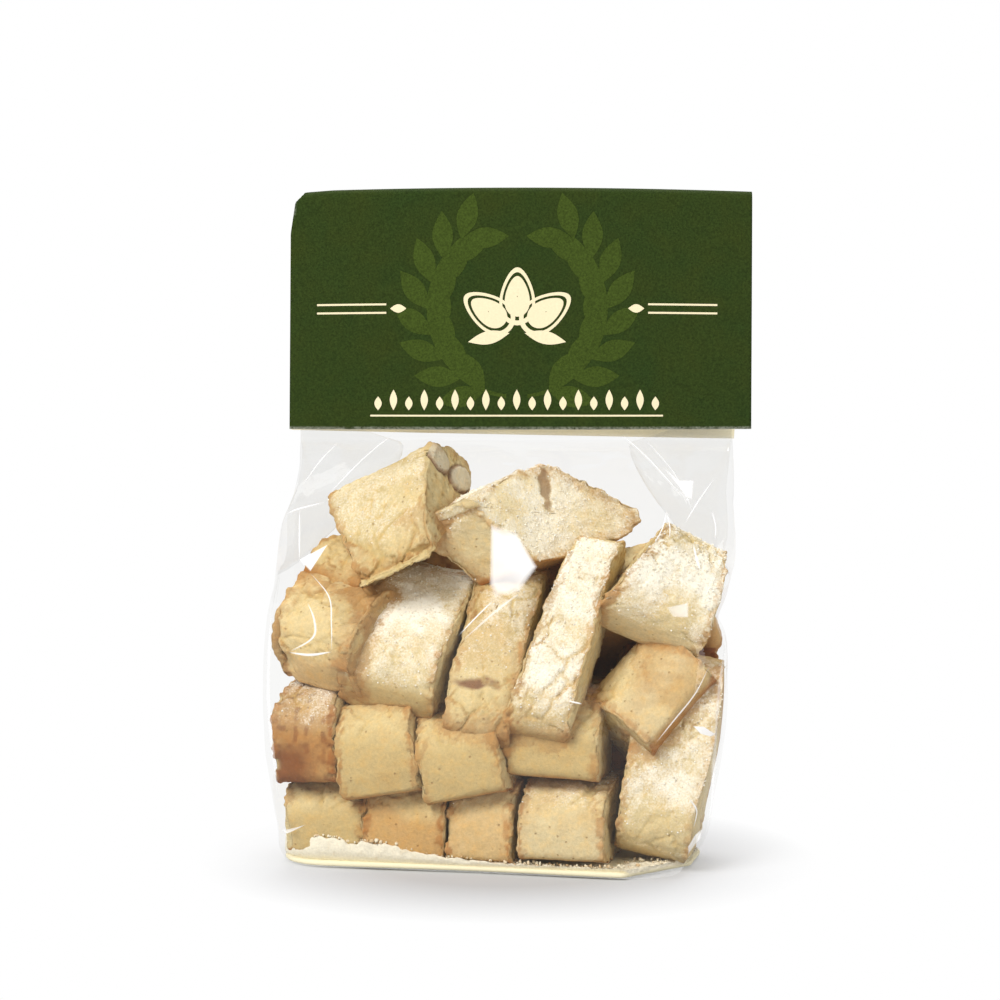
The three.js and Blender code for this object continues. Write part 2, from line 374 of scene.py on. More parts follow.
class Graph:
    """A material's node graph, with short calls for the nodes that the finishes use."""

    def __init__(self, name: str) -> None:
        """Starts an empty graph.

        Args:
            name: the material's name.
        """
        self.material = bpy.data.materials.new(name)
        self.material.use_nodes = True
        self.tree = self.material.node_tree
        self.tree.nodes.clear()
        self.output = self.tree.nodes.new("ShaderNodeOutputMaterial")
        self.coordinates = None

    def node(self, kind: str, inputs: dict | None = None, **settings: object) -> bpy.types.Node:
        """Adds a node, sets it up and fills its inputs.

        Args:
            kind: the node's type name, without its ShaderNode prefix.
            inputs: a socket to link or a constant to set, for each input's name or number.
            settings: the node's own properties.

        Returns:
            The node.
        """
        made = self.tree.nodes.new("ShaderNode" + kind)
        for label, value in settings.items():
            setattr(made, label, value)
        for label, value in (inputs or {}).items():
            socket = made.inputs[label]
            if isinstance(value, Socket):
                self.tree.links.new(value, socket)
            elif isinstance(value, tuple) and len(value) == 3 and socket.type == "RGBA":
                socket.default_value = (*value, 1.0)
            else:
                socket.default_value = value
        return made

    def place(self) -> Socket:
        """The object coordinates, whose node is made once.

        Returns:
            The socket, in metres.
        """
        if self.coordinates is None:
            self.coordinates = self.node("TexCoord").outputs["Object"]
        return self.coordinates

    def number(self, label: str) -> Socket:
        """A named number attribute of the mesh."""
        return self.node("Attribute", attribute_name=label).outputs["Fac"]

    def colour(self, label: str) -> Socket:
        """A named colour attribute of the mesh."""
        return self.node("Attribute", attribute_name=label).outputs["Color"]

    def cells(self, feature: float) -> dict:
        """The inputs that give a texture node features of about that size in millimetres."""
        return {"Vector": self.place(), "Scale": 1.0 / (feature * MM)}

    def noise(self, feature: float, detail: float = 2.0, roughness: float = 0.5) -> Socket:
        """Noise in 0..1 with lumps of about feature millimetres, and finer layers by detail and roughness."""
        inputs = {**self.cells(feature), "Detail": detail, "Roughness": roughness}
        return self.node("TexNoise", inputs).outputs["Fac"]

    def math(self, operation: str, first: object, second: object) -> Socket:
        """One arithmetic step on two sockets or constants, by Blender's name of the operation."""
        return self.node("Math", {0: first, 1: second}, operation=operation).outputs[0]

    def ramp(self, value: object, low: float, high: float, start: float = 0.0, end: float = 1.0) -> Socket:
        """A straight ramp from start to end as the value goes from low to high, level beyond."""
        inputs = {"Value": value, "From Min": low, "From Max": high, "To Min": start, "To Max": end}
        return self.node("MapRange", inputs, clamp=True).outputs["Result"]

    def mix(self, share: object, first: object, second: object, blend: str = "MIX") -> Socket:
        """The first colour with a share of the second one, by Blender's name of the blend."""
        inputs = {0: share, 6: first, 7: second}
        return self.node("Mix", inputs, data_type="RGBA", blend_type=blend).outputs[2]

    def scaled(self, colour: object, factor: Socket) -> Socket:
        """A colour made brighter or darker by a factor."""
        return self.node("VectorMath", {0: colour, "Scale": factor}, operation="SCALE").outputs[0]

    def bump(self, height: Socket, depth: float) -> Socket:
        """A bumped normal from a relief in 0..1, whose step of 1 stands for depth in millimetres."""
        return self.node("Bump", {"Height": height, "Distance": depth * MM}).outputs["Normal"]

    def matte(self, colour: Socket, roughness: float, relief: Socket, depth: float, gloss: float) -> Socket:
        """A surface of that colour, roughness and specular level, bumped by a relief in millimetres."""
        inputs = {"Base Color": colour, "Roughness": roughness, "Specular IOR Level": gloss}
        return self.node("BsdfPrincipled", {**inputs, "Normal": self.bump(relief, depth)}).outputs[0]

    def finish(self, surface: Socket) -> Material:
        """Puts the surface on the output and gives the material."""
        self.tree.links.new(surface, self.output.inputs["Surface"])
        return self.material


# ---- Finishes ----


@dataclass(frozen=True)
class BakedFinish:
    """Baked biscuit: the mesh's own tint with fine crumb grain, pores darkened with painted shade, and sugar
    specks.
    """

    name: str = "baked_biscuit"
    sugar: Triple = (0.95, 0.895, 0.76)
    pore_shade: Triple = (0.34, 0.18, 0.06)
    baked: Triple = (1.0, 0.86, 0.62)
    grain_depth: float = 0.32

    def make(self) -> Material:
        """Builds the material from the mesh attributes tint, sugar and crumb.

        Returns:
            The material.
        """
        graph = Graph(self.name)
        sugar, crumb = graph.number("sugar"), graph.number("crumb")
        coarse = graph.noise(2.4, detail=4.0, roughness=0.62)
        fine = graph.noise(0.8, detail=4.0, roughness=0.8)
        soft, sharp = graph.ramp(coarse, 0.3, 0.7, -0.07, 0.06), graph.ramp(fine, 0.3, 0.7, -0.13, 0.10)
        shade = graph.math("ADD", soft, sharp)
        tint = graph.colour("tint")
        baked = graph.mix(1.0, tint, self.baked, blend="MULTIPLY")
        warmed = graph.mix(graph.ramp(coarse, 0.46, 0.68, 0.0, 0.5), tint, baked)
        varied = graph.scaled(warmed, graph.math("ADD", shade, 1.0))
        cells = graph.node("TexVoronoi", graph.cells(1.9))
        marks = graph.node("SeparateColor", {0: cells.outputs["Color"]}).outputs[0]
        picked = graph.ramp(marks, 0.74, 0.76)
        dot = graph.math("MULTIPLY", graph.ramp(cells.outputs["Distance"], 0.09, 0.20, 1.0, 0.0), picked)
        # Painted shade: the pores are darkened in colour as well as sunk in the relief.
        pore_shaded = graph.mix(graph.math("MULTIPLY", dot, 0.55), varied, self.pore_shade)
        grains = graph.noise(0.5, detail=1.0)
        patchy = graph.math("ADD", graph.math("MULTIPLY", grains, 0.75), graph.math("MULTIPLY", coarse, 0.35))
        piled = graph.math("ADD", patchy, graph.math("MULTIPLY", sugar, 0.80))
        cover = graph.ramp(piled, 0.70, 1.22, 0.0, 0.95)
        sugared = graph.mix(graph.math("MULTIPLY", cover, graph.ramp(sugar, 0.0, 0.3)), pore_shaded, self.sugar)
        rough = graph.math("MULTIPLY", fine, graph.ramp(crumb, 0.0, 1.0, 0.9, 1.5))
        mild = graph.math("MULTIPLY", coarse, 0.5)
        relief = graph.math("SUBTRACT", graph.math("ADD", rough, mild), graph.math("MULTIPLY", dot, 0.6))
        return graph.finish(graph.matte(sugared, 0.85, relief, self.grain_depth, 0.15))


@dataclass(frozen=True)
class FilmFinish:
    """Clear film: see-through with a weak tint, and a mirror-like gloss that grows towards grazing."""

    name: str
    tint: Triple
    facing_share: float
    edge_share: float
    gloss_roughness: float = 0.04
    ripple: float = 0.15

    def make(self) -> Material:
        """Builds the material.

        Returns:
            The material.
        """
        graph = Graph(self.name)
        facing = graph.node("LayerWeight", {"Blend": 0.35}).outputs["Facing"]
        share = graph.ramp(graph.math("POWER", facing, 2.5), 0.0, 1.0, self.facing_share, self.edge_share)
        normal = graph.bump(graph.noise(5.0, detail=2.0), self.ripple)
        clear = graph.node("BsdfTransparent", {"Color": self.tint}).outputs[0]
        inputs = {"Color": (1.0, 1.0, 1.0), "Roughness": self.gloss_roughness, "Normal": normal}
        gloss = graph.node("BsdfGlossy", inputs).outputs[0]
        return graph.finish(graph.node("MixShader", {0: share, 1: clear, 2: gloss}).outputs[0])


@dataclass(frozen=True)
class CreaseAndGlintFinish:
    """White for the film's creased lines, partly the film's own whitening and partly painted highlight, and
    for the painted glints of the lamps on the film: white where the attribute veil is 1, clear where it is 0.
    """

    name: str = "film_crease_and_glint"

    def make(self) -> Material:
        """Builds the material from the mesh attribute veil.

        Returns:
            The material.
        """
        graph = Graph(self.name)
        clear = graph.node("BsdfTransparent", {"Color": (1.0, 1.0, 1.0)}).outputs[0]
        inputs = {"Base Color": (0.97, 0.97, 0.97), "Roughness": 0.25, "Specular IOR Level": 0.6}
        white = graph.node("BsdfPrincipled", inputs).outputs[0]
        return graph.finish(graph.node("MixShader", {0: graph.number("veil"), 1: clear, 2: white}).outputs[0])


@dataclass(frozen=True)
class CardFinish:
    """Printed or bare matte card with paper grain, mottled ink and paler rubbed edges."""

    name: str
    ink: Triple
    rubbed: Triple
    clouded: Triple | None = None
    grain: float = 0.10
    roughness: float = 0.85

    def make(self) -> Material:
        """Builds the material from the mesh attribute rub, where there is one.

        Returns:
            The material.
        """
        graph = Graph(self.name)
        fleck = graph.noise(0.55, detail=3.0, roughness=0.85)
        cloud = graph.noise(11.0, detail=5.0, roughness=0.6)
        shade = graph.math("ADD", graph.ramp(fleck, 0.36, 0.64, -self.grain, self.grain), 1.0)
        shade = graph.math("ADD", shade, graph.ramp(cloud, 0.3, 0.7, -0.2 * self.grain, 0.2 * self.grain))
        colour = graph.mix(graph.ramp(cloud, 0.28, 0.72), self.ink, self.clouded or self.ink)
        worn = graph.math("MULTIPLY", graph.number("rub"), graph.ramp(fleck, 0.35, 0.6))
        inked = graph.mix(worn, graph.scaled(colour, shade), self.rubbed)
        return graph.finish(graph.matte(inked, self.roughness, fleck, 0.03, 0.12))


@dataclass(frozen=True)
class CrumbFinish:
    """Loose crumbs, sugar and dust: one colour, varied from grain to grain."""

    name: str
    pale: Triple
    dark: Triple
    roughness: float = 0.8

    def make(self) -> Material:
        """Builds the material from the mesh attribute shade.

        Returns:
            The material.
        """
        graph = Graph(self.name)
        colour = graph.mix(graph.number("shade"), self.pale, self.dark)
        fine = graph.noise(0.6, detail=3.0, roughness=0.7)
        varied = graph.scaled(colour, graph.ramp(fine, 0.3, 0.7, 0.9, 1.08))
        return graph.finish(graph.matte(varied, self.roughness, fine, 0.25, 0.5))


class Finishes:
    """All the materials of the pack, made once."""

    def __init__(self) -> None:
        """Makes each material."""
        brownish, green, cream = (0.0255, 0.0375, 0.0066), (0.0215, 0.0400, 0.0082), (0.74, 0.65, 0.43)
        self.baked = BakedFinish().make()
        self.film = FilmFinish("clear_film", (0.968, 0.967, 0.962), 0.03, 0.20).make()
        # White for the film's creased lines and for the painted glints of the lamps.
        self.crease = CreaseAndGlintFinish().make()
        self.card_green = CardFinish("card_green", green, (0.42, 0.43, 0.36), brownish, grain=0.30).make()
        self.card_cream = CardFinish("card_cream", (0.97, 0.89, 0.64), (0.93, 0.9, 0.78), grain=0.03).make()
        olive = (0.040, 0.062, 0.0095)
        self.print_olive = CardFinish("print_olive", olive, (0.2, 0.22, 0.1), grain=0.30).make()
        self.print_cream = CardFinish("print_cream", cream, cream, grain=0.04).make()
        self.board = CardFinish("base_board", (0.79, 0.72, 0.50), (0.85, 0.80, 0.68), grain=0.03).make()
        self.dust = CrumbFinish("crumb_dust", (0.86, 0.79, 0.62), (0.74, 0.60, 0.38)).make()
        self.crumbs = CrumbFinish("loose_crumbs", (0.86, 0.78, 0.58), (0.62, 0.40, 0.18)).make()
        self.sugar = CrumbFinish("sugar_grains", (0.93, 0.90, 0.82), (0.88, 0.80, 0.62), 0.4).make()


# ---- The bag's form ----


@dataclass(frozen=True)
class BagForm:
    """The filled bag's outer form, as level sections that change with height."""

    card_bottom: float = 114.0
    card_top: float = 176.5
    card_width: float = 120.0
    card_centre_x: float = 2.3
    card_bow: float = 1.6
    panel_gap_top: float = 3.2
    panel_gap_bottom: float = 7.6
    neck_clearance: float = 0.35
    neck_top: float = 171.0
    bow_starts_below: float = 18.0
    bow_full_below: float = 5.0
    gusset_half: float = 27.0
    gusset_shut: float = 9.0
    gusset_shut_below: float = 4.0
    gusset_opens: float = 62.0
    gusset_opens_over: float = 8.0
    left_edge: Pairs = (
        (0, -60.6), (8, -60.0), (16, -61.0), (33, -62.8), (48, -63.2), (62, -62.9),
        (80, -60.9), (92, -59.3), (98, -56.8), (104, -55.4), (114, -55.0), (176, -54.6),
    )
    right_edge: Pairs = (
        (0, 48.2), (8, 51.0), (16, 52.1), (33, 55.4), (50, 56.6), (59, 56.2), (65, 53.6),
        (73, 55.8), (83, 58.3), (92, 57.8), (112, 57.6), (176, 56.8),
    )
    half_depths: Pairs = (
        (0, 22.4), (14, 25.4), (34, 28.2), (58, 28.8), (76, 27.2),
        (88, 23.2), (98, 16.8), (105, 10.2), (110.2, 3.25),
    )
    corner_radii: Pairs = ((0, 13), (40, 12), (70, 10), (90, 6), (110, 1.4))
    corner_share: float = 0.8
    base_twist: float = math.radians(-12.0)
    twist_ends: float = 84.0
    end_roll: Pair = (1.8, 5.0)
    side_roll: Pair = (2.4, 5.0)
    roll_curve: float = 1.6

    def middle_and_half(self, height: Array) -> tuple[Array, Array]:
        """The middle between the bag's two edges at each height, and half the distance."""
        left, right = through(self.left_edge, height), through(self.right_edge, height)
        return (left + right) / 2, (right - left) / 2

    def corner_radius(self, height: Array) -> Array:
        """Radius of a level section's corners."""
        return np.minimum(through(self.corner_radii, height), self.half_depth(height) * self.corner_share)

    def half_panel_gap(self, height: Array) -> Array:
        """Half the gap between the header's panels: straight from the fold to the lower edge."""
        share = (np.asarray(height, float) - self.card_bottom) / (self.card_top - self.card_bottom)
        return (self.panel_gap_bottom + (self.panel_gap_top - self.panel_gap_bottom) * share) / 2

    def half_depth(self, height: Array) -> Array:
        """Half the bag's depth: its own curve, and under the header the card's gap less a clearance.

        Args:
            height: z of each place.

        Returns:
            Half the depth there.
        """
        body = through(self.half_depths, height)
        neck = np.minimum(body, self.half_panel_gap(height) - self.neck_clearance)
        return np.where(np.asarray(height) <= self.card_bottom, body, neck)

    def gusset_fold(self, height: Array) -> Array:
        """How far a side wall folds in: sqrt(half width squared - half depth squared), shut in the header.

        Args:
            height: z of each place.

        Returns:
            The distance from the bag's edge to the fold.
        """
        depth = self.half_depth(height)
        fold = np.sqrt(np.maximum(self.gusset_half**2 - depth**2, 0.0))
        shut = (height - (self.card_bottom - self.gusset_shut_below)) / self.gusset_shut
        fold = fold * np.clip(1.0 - shut, 0.0, 1.0)
        return fold * smoothstep(height, self.gusset_opens, self.gusset_opens + self.gusset_opens_over)

    def bow(self, from_middle: Array) -> Array:
        """How far the card stands forward: bow * (1 - (2x / width) squared)."""
        return self.card_bow * (1.0 - (2.0 * from_middle / self.card_width) ** 2)

    def neck_shift(self, x: Array, height: Array) -> Array:
        """The forward shift that the bag's neck takes to follow the bowed card.

        Args:
            x: place across.
            height: z of each place.

        Returns:
            The shift.
        """
        low, high = self.card_bottom - self.bow_starts_below, self.card_bottom - self.bow_full_below
        share = smoothstep(height, low, high)
        half = self.card_width / 2
        return share * self.bow(np.clip(x - self.card_centre_x, -half, half))

    def turn(self, height: Array) -> Array:
        """The angle by which the bag is twisted at each height."""
        return self.base_twist * (1.0 - smoothstep(height, 0.0, self.twist_ends))

    def twist(self, middle: Array, x: Array, y: Array, height: Array) -> Array:
        """Turns section points (x, y) about the section's middle by the twist at their height.

        Args:
            middle: x of the section's middle.
            x: distance from there, across.
            y: depth before the twist.
            height: z of each point.

        Returns:
            Places, with a last axis of 3.
        """
        cosine, sine = np.cos(self.turn(height)), np.sin(self.turn(height))
        return np.stack([middle + x * cosine - y * sine, x * sine + y * cosine, height], axis=-1)

    def roll_inset(self, roll: Pair, height: Array) -> Array:
        """How far the foot is drawn in: inset * (1 - height / roll height) ** curve."""
        return roll[0] * np.maximum(0.0, 1.0 - height / roll[1]) ** self.roll_curve

    def wrap(self, across: Array, forward: Array, height: Array) -> Array:
        """Draws section points in at the foot, bends them to the card and twists them.

        Args:
            across: distance of each point from the section's middle, along x.
            forward: y of each point before the twist.
            height: z of each point.

        Returns:
            Places, with a last axis of 3.
        """
        middle, half = self.middle_and_half(height)
        depth = self.half_depth(height)
        x = across * (half - self.roll_inset(self.end_roll, height)) / half
        shifted = forward * (depth - self.roll_inset(self.side_roll, height)) / depth
        shifted = shifted - self.neck_shift(middle + across, height)
        return self.twist(middle, x, shifted, np.broadcast_to(height, x.shape))

    def sections(self, heights: Array, face: int, corner: int, side: int) -> Array:
        """All the sections at once: a rounded rectangle whose side walls fold inwards.

        Args:
            heights: the sections' heights.
            face: steps along the front and the back.
            corner: steps round a corner.
            side: steps down half a side wall.

        Returns:
            Places, shape (heights, points, 3), counter-clockwise from above.
        """
        z = np.asarray(heights, float)[:, None]
        _, half = self.middle_and_half(z)
        depth, radius, fold = self.half_depth(z), self.corner_radius(z), self.gusset_fold(z)
        across = np.linspace(-1.0, 1.0, face, endpoint=False)[None, :]
        turn = np.linspace(0.0, math.pi / 2, corner, endpoint=False)[None, :]
        down = np.linspace(1.0, -1.0, 2 * side, endpoint=False)[None, :]
        flat = np.ones_like(z)
        x_parts, y_parts = [], []
        for way in (-1.0, 1.0):
            x_parts += [
                -way * across * (half - radius),
                -way * (half - radius + radius * np.sin(turn)),
                -way * (half - fold * (1.0 - np.abs(down))),
                -way * (half - radius + radius * np.cos(turn)),
            ]
            y_parts += [
                way * depth * np.ones_like(across),
                way * (depth - radius + radius * np.cos(turn)),
                way * down * (depth - radius),
                -way * (depth - radius + radius * np.sin(turn)),
            ]
        x = np.concatenate([part * flat for part in x_parts], axis=1)
        y = np.concatenate([part * flat for part in y_parts], axis=1)
        return self.wrap(x, y, np.broadcast_to(z, x.shape))

    def hold_inside(self, points: Array, margin: float) -> Array:
        """Presses points that reach past the film back to it, as film presses on what it holds.

        Args:
            points: places, shape (points, 3).
            margin: least distance that is kept to the film's own form.

        Returns:
            The places, moved where they have to be.
        """
        z = np.clip(points[:, 2], 0.0, self.card_bottom)
        middle, half = self.middle_and_half(z)
        shift, radius = self.neck_shift(points[:, 0], z), self.corner_radius(z)
        x, y = turned(points[:, 0] - middle, points[:, 1], self.turn(z))
        limit_x = half - margin - self.roll_inset(self.end_roll, z)
        limit_y = self.half_depth(z) - margin - self.roll_inset(self.side_roll, z)
        x = np.clip(x, -limit_x, limit_x)
        y = np.clip(y + shift, -limit_y, limit_y)
        over_x = np.maximum(np.abs(x) - (limit_x - radius), 0.0)
        over_y = np.maximum(np.abs(y) - (limit_y - radius), 0.0)
        reach = np.hypot(over_x, over_y)
        pull = np.where(reach > radius, radius / np.maximum(reach, 1e-6), 1.0)
        x = np.sign(x) * (np.abs(x) - over_x * (1.0 - pull))
        y = np.sign(y) * (np.abs(y) - over_y * (1.0 - pull)) - shift
        kept = self.twist(middle, x, y, z)
        kept[:, 2] = points[:, 2]
        return kept


@dataclass(frozen=True)
class Bench:
    """What every part is built with: the bag's form, the frame and the finishes."""

    form: BagForm
    pack: PackFrame
    finishes: Finishes

    def mesh(self, name: str, points: Array, *rest: object, **layers: object) -> Object:
        """Makes one object from places in millimetres; the rest is as for build_object."""
        return build_object(name, self.pack.to_metres(points), *rest, **layers)


# ---- Biscuit slices ----


class Crust(Enum):
    """How a slice's crust was baked, as the colour of its steep sides."""

    PALE = (0.58, 0.435, 0.195)
    LIGHT = (0.74, 0.61, 0.35)
    GOLDEN = (0.70, 0.50, 0.24)
    TOASTED = (0.60, 0.37, 0.145)
    BROWNED = (0.42, 0.21, 0.065)


@dataclass(frozen=True)
class AlmondInCut:
    """An almond at one of a slice's cut faces: side -1 or 1, place, angle, size, and how much flesh shows."""

    side: float
    along: float
    up: float
    angle: float
    length: float = 15.0
    width: float = 9.0
    flesh: float = 1.0


@dataclass
class BiscuitSlice:
    """One slice of a baked almond log: flat underside, domed crackled top, two cut faces.

    The slice is laid by the middle of its near end, the direction from there to its far end,
    and the direction in which its domed top faces.
    """

    name: str
    end: Triple
    along: Triple
    top: Triple
    size: Triple = (22.0, 54.0, 24.0)
    crust: Crust = Crust.PALE
    sugar: float = 0.5
    seed: int = 1
    skew: float = 0.0
    slant: float = 0.0
    taper: float = 0.0
    broken: float = 0.0
    cracked: float = 1.0
    ragged: float = 1.0
    detail: float = 1.0
    waist: float = 0.32
    side_curve: float = 0.58
    under_curve: float = 0.28
    heel: float = 0.0
    chip: float = 0.0
    chip_reach: float = 0.3
    coarse: float = 0.20
    smooth_cut: float = 0.0
    almonds: tuple[AlmondInCut, ...] = ()
    skins: tuple[tuple[float, float, float, float, float], ...] = ()

    rim_rows: int = 5
    rim_radius: float = 0.55
    film_margin: float = 0.9

    def steps(self, count: int) -> int:
        """A number of rows or columns at the slice's own level of detail."""
        return int(round(count * self.detail))

    def profile(self) -> Array:
        """The log's outline: powers of cos and sin, flatter below, evenly spaced along its length.

        Returns:
            Places (along, up) in millimetres, with up = 0 at mid-height.
        """
        around = self.steps(250)
        angle = np.linspace(0.0, 2.0 * math.pi, 4 * around, endpoint=False)
        cosine, sine = np.cos(angle), np.sin(angle)
        along = 0.5 + 0.5 * np.sign(cosine) * np.abs(cosine) ** self.side_curve
        dome = self.waist + (1.0 - self.waist) * np.abs(sine) ** 0.80
        under = self.waist - self.waist * np.abs(sine) ** self.under_curve
        up = np.where(sine >= 0.0, dome, under) * (1.0 - self.heel * smoothstep(along, 0.5, 1.0)) - 0.5
        up = np.maximum(up, self.chip * (1.0 - along / self.chip_reach) - 0.5) if self.chip else up
        outline = np.stack([along * self.size[1], up * self.size[2]], axis=-1)
        return even_ring(outline, around)

    def path(self) -> tuple[Array, Array]:
        """The way from one cut face's middle over both rims to the other's.

        Returns:
            The share of the outline's size that each row takes, and its place across the width.
        """
        half = self.size[0] / 2
        rim_share = 1.0 - self.rim_radius / (self.size[2] / 2)
        cap = rim_share * np.linspace(0.05, 1.0, self.steps(24), endpoint=False) ** 0.7
        turn = np.linspace(0.0, math.pi / 2, self.rim_rows)
        rim_out = rim_share + (1.0 - rim_share) * np.sin(turn)
        rim_across = -half + self.rim_radius * (1.0 - np.cos(turn))
        wall = np.linspace(-half + self.rim_radius, half - self.rim_radius, self.steps(46))[1:-1]
        share = np.concatenate([cap, rim_out, np.ones_like(wall), rim_out[::-1], cap[::-1]])
        across = np.concatenate(
            [np.full_like(cap, -half), rim_across, wall, -rim_across[::-1], np.full_like(cap, half)]
        )
        return share, across

    def shape(self) -> Fields:
        """The slice in its own frame, with relief, and what its finish needs to know.

        Returns:
            Points of shape (rows, around, 3) and numbers of shape (rows, around).
        """
        width, length, height = self.size
        outline = self.profile()
        share, across = self.path()
        middle = np.array([length / 2, -0.04 * height])
        flat = middle + share[:, None, None] * (outline - middle)
        points = np.concatenate([np.broadcast_to(across[:, None, None], (*flat.shape[:2], 1)), flat], axis=-1)
        key = points + self.seed * SEED_STEP
        half = width / 2
        on_wall = smoothstep(share, 0.95, 1.0)[:, None] * np.ones(len(outline))
        up = points[..., 2] / height + 0.5
        topness = smoothstep(up + 0.10 * value_noise(key, 9.0, 5), 0.50, 0.72) * on_wall
        underside = smoothstep(up, 0.10, 0.01) * on_wall

        # The cut wanders, and the whole slice can be tapered, cut askew or slanted at its ends.
        wander = 0.8 * value_noise(key, 19.0, 11) + 0.35 * layered_noise(key, 5.0, 12)
        edgeward = np.abs(points[..., 0]) / half
        points[..., 0] += np.sign(points[..., 0]) * edgeward**3 * wander
        points[..., 0] *= 1.0 + self.taper * (points[..., 1] / length - 0.5)
        points[..., 0] += math.tan(self.skew) * (points[..., 1] - length / 2)
        points[..., 1] += math.tan(self.slant) * points[..., 0]

        # Crust: broad lumps, cracks between plates of unequal height, creased flakes and fine grain.
        normal = grid_normals(points)
        lumps = 0.8 * layered_noise(key, 13.0, 21) * (0.35 + 0.65 * topness)
        bent = key * np.array([1.0, 0.8, 1.0]) + 2.2 * layered_noise(key, 5.0, 25)[..., None]
        near, second, mark = cell_distances(bent, 9.5, 31)
        cracked = self.cracked * topness * smoothstep(value_noise(key, 12.0, 41), -0.45, 0.3)
        cracks = np.exp(-(((second - near) / 0.05) ** 2)) * cracked
        plates = 0.5 * (mark - 0.5) * smoothstep(second - near, 0.0, 0.10) * cracked
        folds = np.abs(layered_noise(bent, 4.6, 51, layers=3))
        creases = np.exp(-((folds / 0.06) ** 2)) * topness * smoothstep(value_noise(key, 8.0, 55), 0.0, 0.5)
        flakes = 0.6 * (folds - 0.25) * (self.coarse + (1.0 - self.coarse) * topness) - 0.35 * creases
        grain = value_noise(key, 1.1, 59) + 0.7 * value_noise(key, 1.9, 58)
        rough = np.maximum(topness, self.coarse)
        pits = smoothstep(cell_distances(key, 3.1, 57)[0], 0.16, 0.06) * (0.25 + 0.75 * rough)
        crust = lumps + plates + flakes - 0.7 * cracks - 0.35 * pits + grain * (0.075 + 0.045 * rough)

        # Cut face: open crumb with small holes; rims crumbled away unevenly.
        holes = smoothstep(cell_distances(key, 2.3, 66)[0], 0.34, 0.08)
        crumb = 0.55 * layered_noise(key, 3.4, 61, layers=4) - 0.7 * holes + 0.10 * grain
        even = 0.8 * lumps + 0.35 * layered_noise(key, 7.0, 62) + 0.08 * grain
        crumb = crumb + self.smooth_cut * (even - crumb)
        rim = np.exp(-(((half - np.abs(across)) / 1.4) ** 2)) * np.exp(-(((1.0 - share) / 0.08) ** 2))
        rim = rim[:, None]
        stretched = key * np.array([0.6, 1.0, 1.0])
        teeth = layered_noise(stretched, 1.8, 13, layers=2)
        bites = smoothstep(value_noise(stretched, 3.4, 15), 0.10, 0.45)
        crumbled = self.ragged * rim * (0.75 * teeth + 1.0 * bites + 0.35 * value_noise(key, 1.3, 17))
        relief = on_wall * crust + (1.0 - on_wall) * crumb * (1.0 - rim) - crumbled

        # A broken slice has lost bites along its edges.
        bite = smoothstep(layered_noise(key, 11.0, 71), 0.05, 0.45) * self.broken
        relief -= 3.4 * bite * smoothstep(edgeward, 0.25, 0.95) * on_wall
        bare = np.clip(bite * smoothstep(edgeward, 0.25, 0.8) + 0.8 * rim * bites * self.ragged, 0.0, 1.0)
        almond, skin = np.zeros_like(up), np.zeros_like(up)
        for nut in self.almonds:
            almond_here, skin_here = self.almond_masks(points, nut, share)
            almond, skin = np.maximum(almond, almond_here * nut.flesh), np.maximum(skin, skin_here)
        for side, place, angle, long, wide in self.skins:
            u = (key - self.seed * SEED_STEP)[..., :2] - np.array([side, place])
            onward, out = turned(u[..., 0], u[..., 1], angle)
            egg = np.hypot(onward / (long / 2), (out + 0.9 * value_noise(key, 3.0, 77)) / (wide / 2))
            worn = 0.6 + 0.4 * smoothstep(folds, 0.1, 0.3)
            skin = np.maximum(skin, smoothstep(egg, 1.15, 0.55) * topness * worn)
        relief = relief * (1.0 - almond) + 0.7 * almond - 0.35 * skin
        masks = {
            "up": up, "topness": topness, "underside": underside, "on_wall": on_wall,
            "cracks": np.maximum(cracks, 0.8 * creases), "pits": pits, "holes": holes,
            "bare": bare, "almond": almond, "skin": skin, "rim": rim,
        }
        tint, dusted = self.tints(key, points, masks)
        return {
            "points": points + normal * relief[..., None],
            "tint": tint,
            "sugar": dusted,
            "crumb": np.maximum((1.0 - on_wall) * (1.0 - self.smooth_cut), bare),
        }

    def almond_masks(self, points: Array, nut: AlmondInCut, share: Array) -> tuple[Array, Array]:
        """Where an almond's flesh and its skin show on a cut face: inside and along an egg shape.

        Args:
            points: the slice's points.
            nut: the almond.
            share: the rows' share of the outline.

        Returns:
            Masks for the flesh and the skin.
        """
        along, out = turned(points[..., 1] - nut.along, points[..., 2] - nut.up, nut.angle)
        waist = nut.width / 2 * (1.0 - 0.35 * along / nut.length)
        egg = np.hypot(along / (nut.length / 2), out / waist)
        here = (np.sign(points[..., 0]) == nut.side) * (share < 0.985)[:, None]
        flesh = smoothstep(egg, 1.0, 0.92) * here
        skin = np.exp(-(((egg - 1.02) / 0.10) ** 2)) * here
        if nut.flesh == 0.0:
            skin = 0.8 * smoothstep(egg + 0.5 * value_noise(points, 1.8, 79), 1.15, 0.55) * here
        return flesh, skin

    def tints(self, key: Array, points: Array, masks: Fields) -> tuple[Array, Array]:
        """The baked colours: pale crumb, crust, browning low down and at the ends, sugar on top, and painted
        shade in the crust's pits and the crumb's holes.

        Args:
            key: the points that the patterns are read at.
            points: the slice's points.
            masks: the named masks that shape() works out.

        Returns:
            Red, green and blue of each point, and how much sugar lies there.
        """
        crumb = np.array([0.70, 0.565, 0.30])
        dome = np.array([0.71, 0.555, 0.275])
        golden = np.array([0.57, 0.37, 0.135])
        ochre = np.array([0.56, 0.40, 0.13])
        brown = np.array([0.46, 0.23, 0.07])
        dark = np.array([0.21, 0.07, 0.018])
        flesh = np.array([0.66, 0.58, 0.42])
        skin = np.array([0.22, 0.10, 0.055])
        sugared = np.array([0.84, 0.78, 0.60])
        on_wall, topness, up = masks["on_wall"], masks["topness"], masks["up"]

        def blend(first: Array, second: Array, share: Array) -> Array:
            """Mixes two colours by a share for each point."""
            return first + np.clip(share, 0.0, 1.0)[..., None] * (second - first)

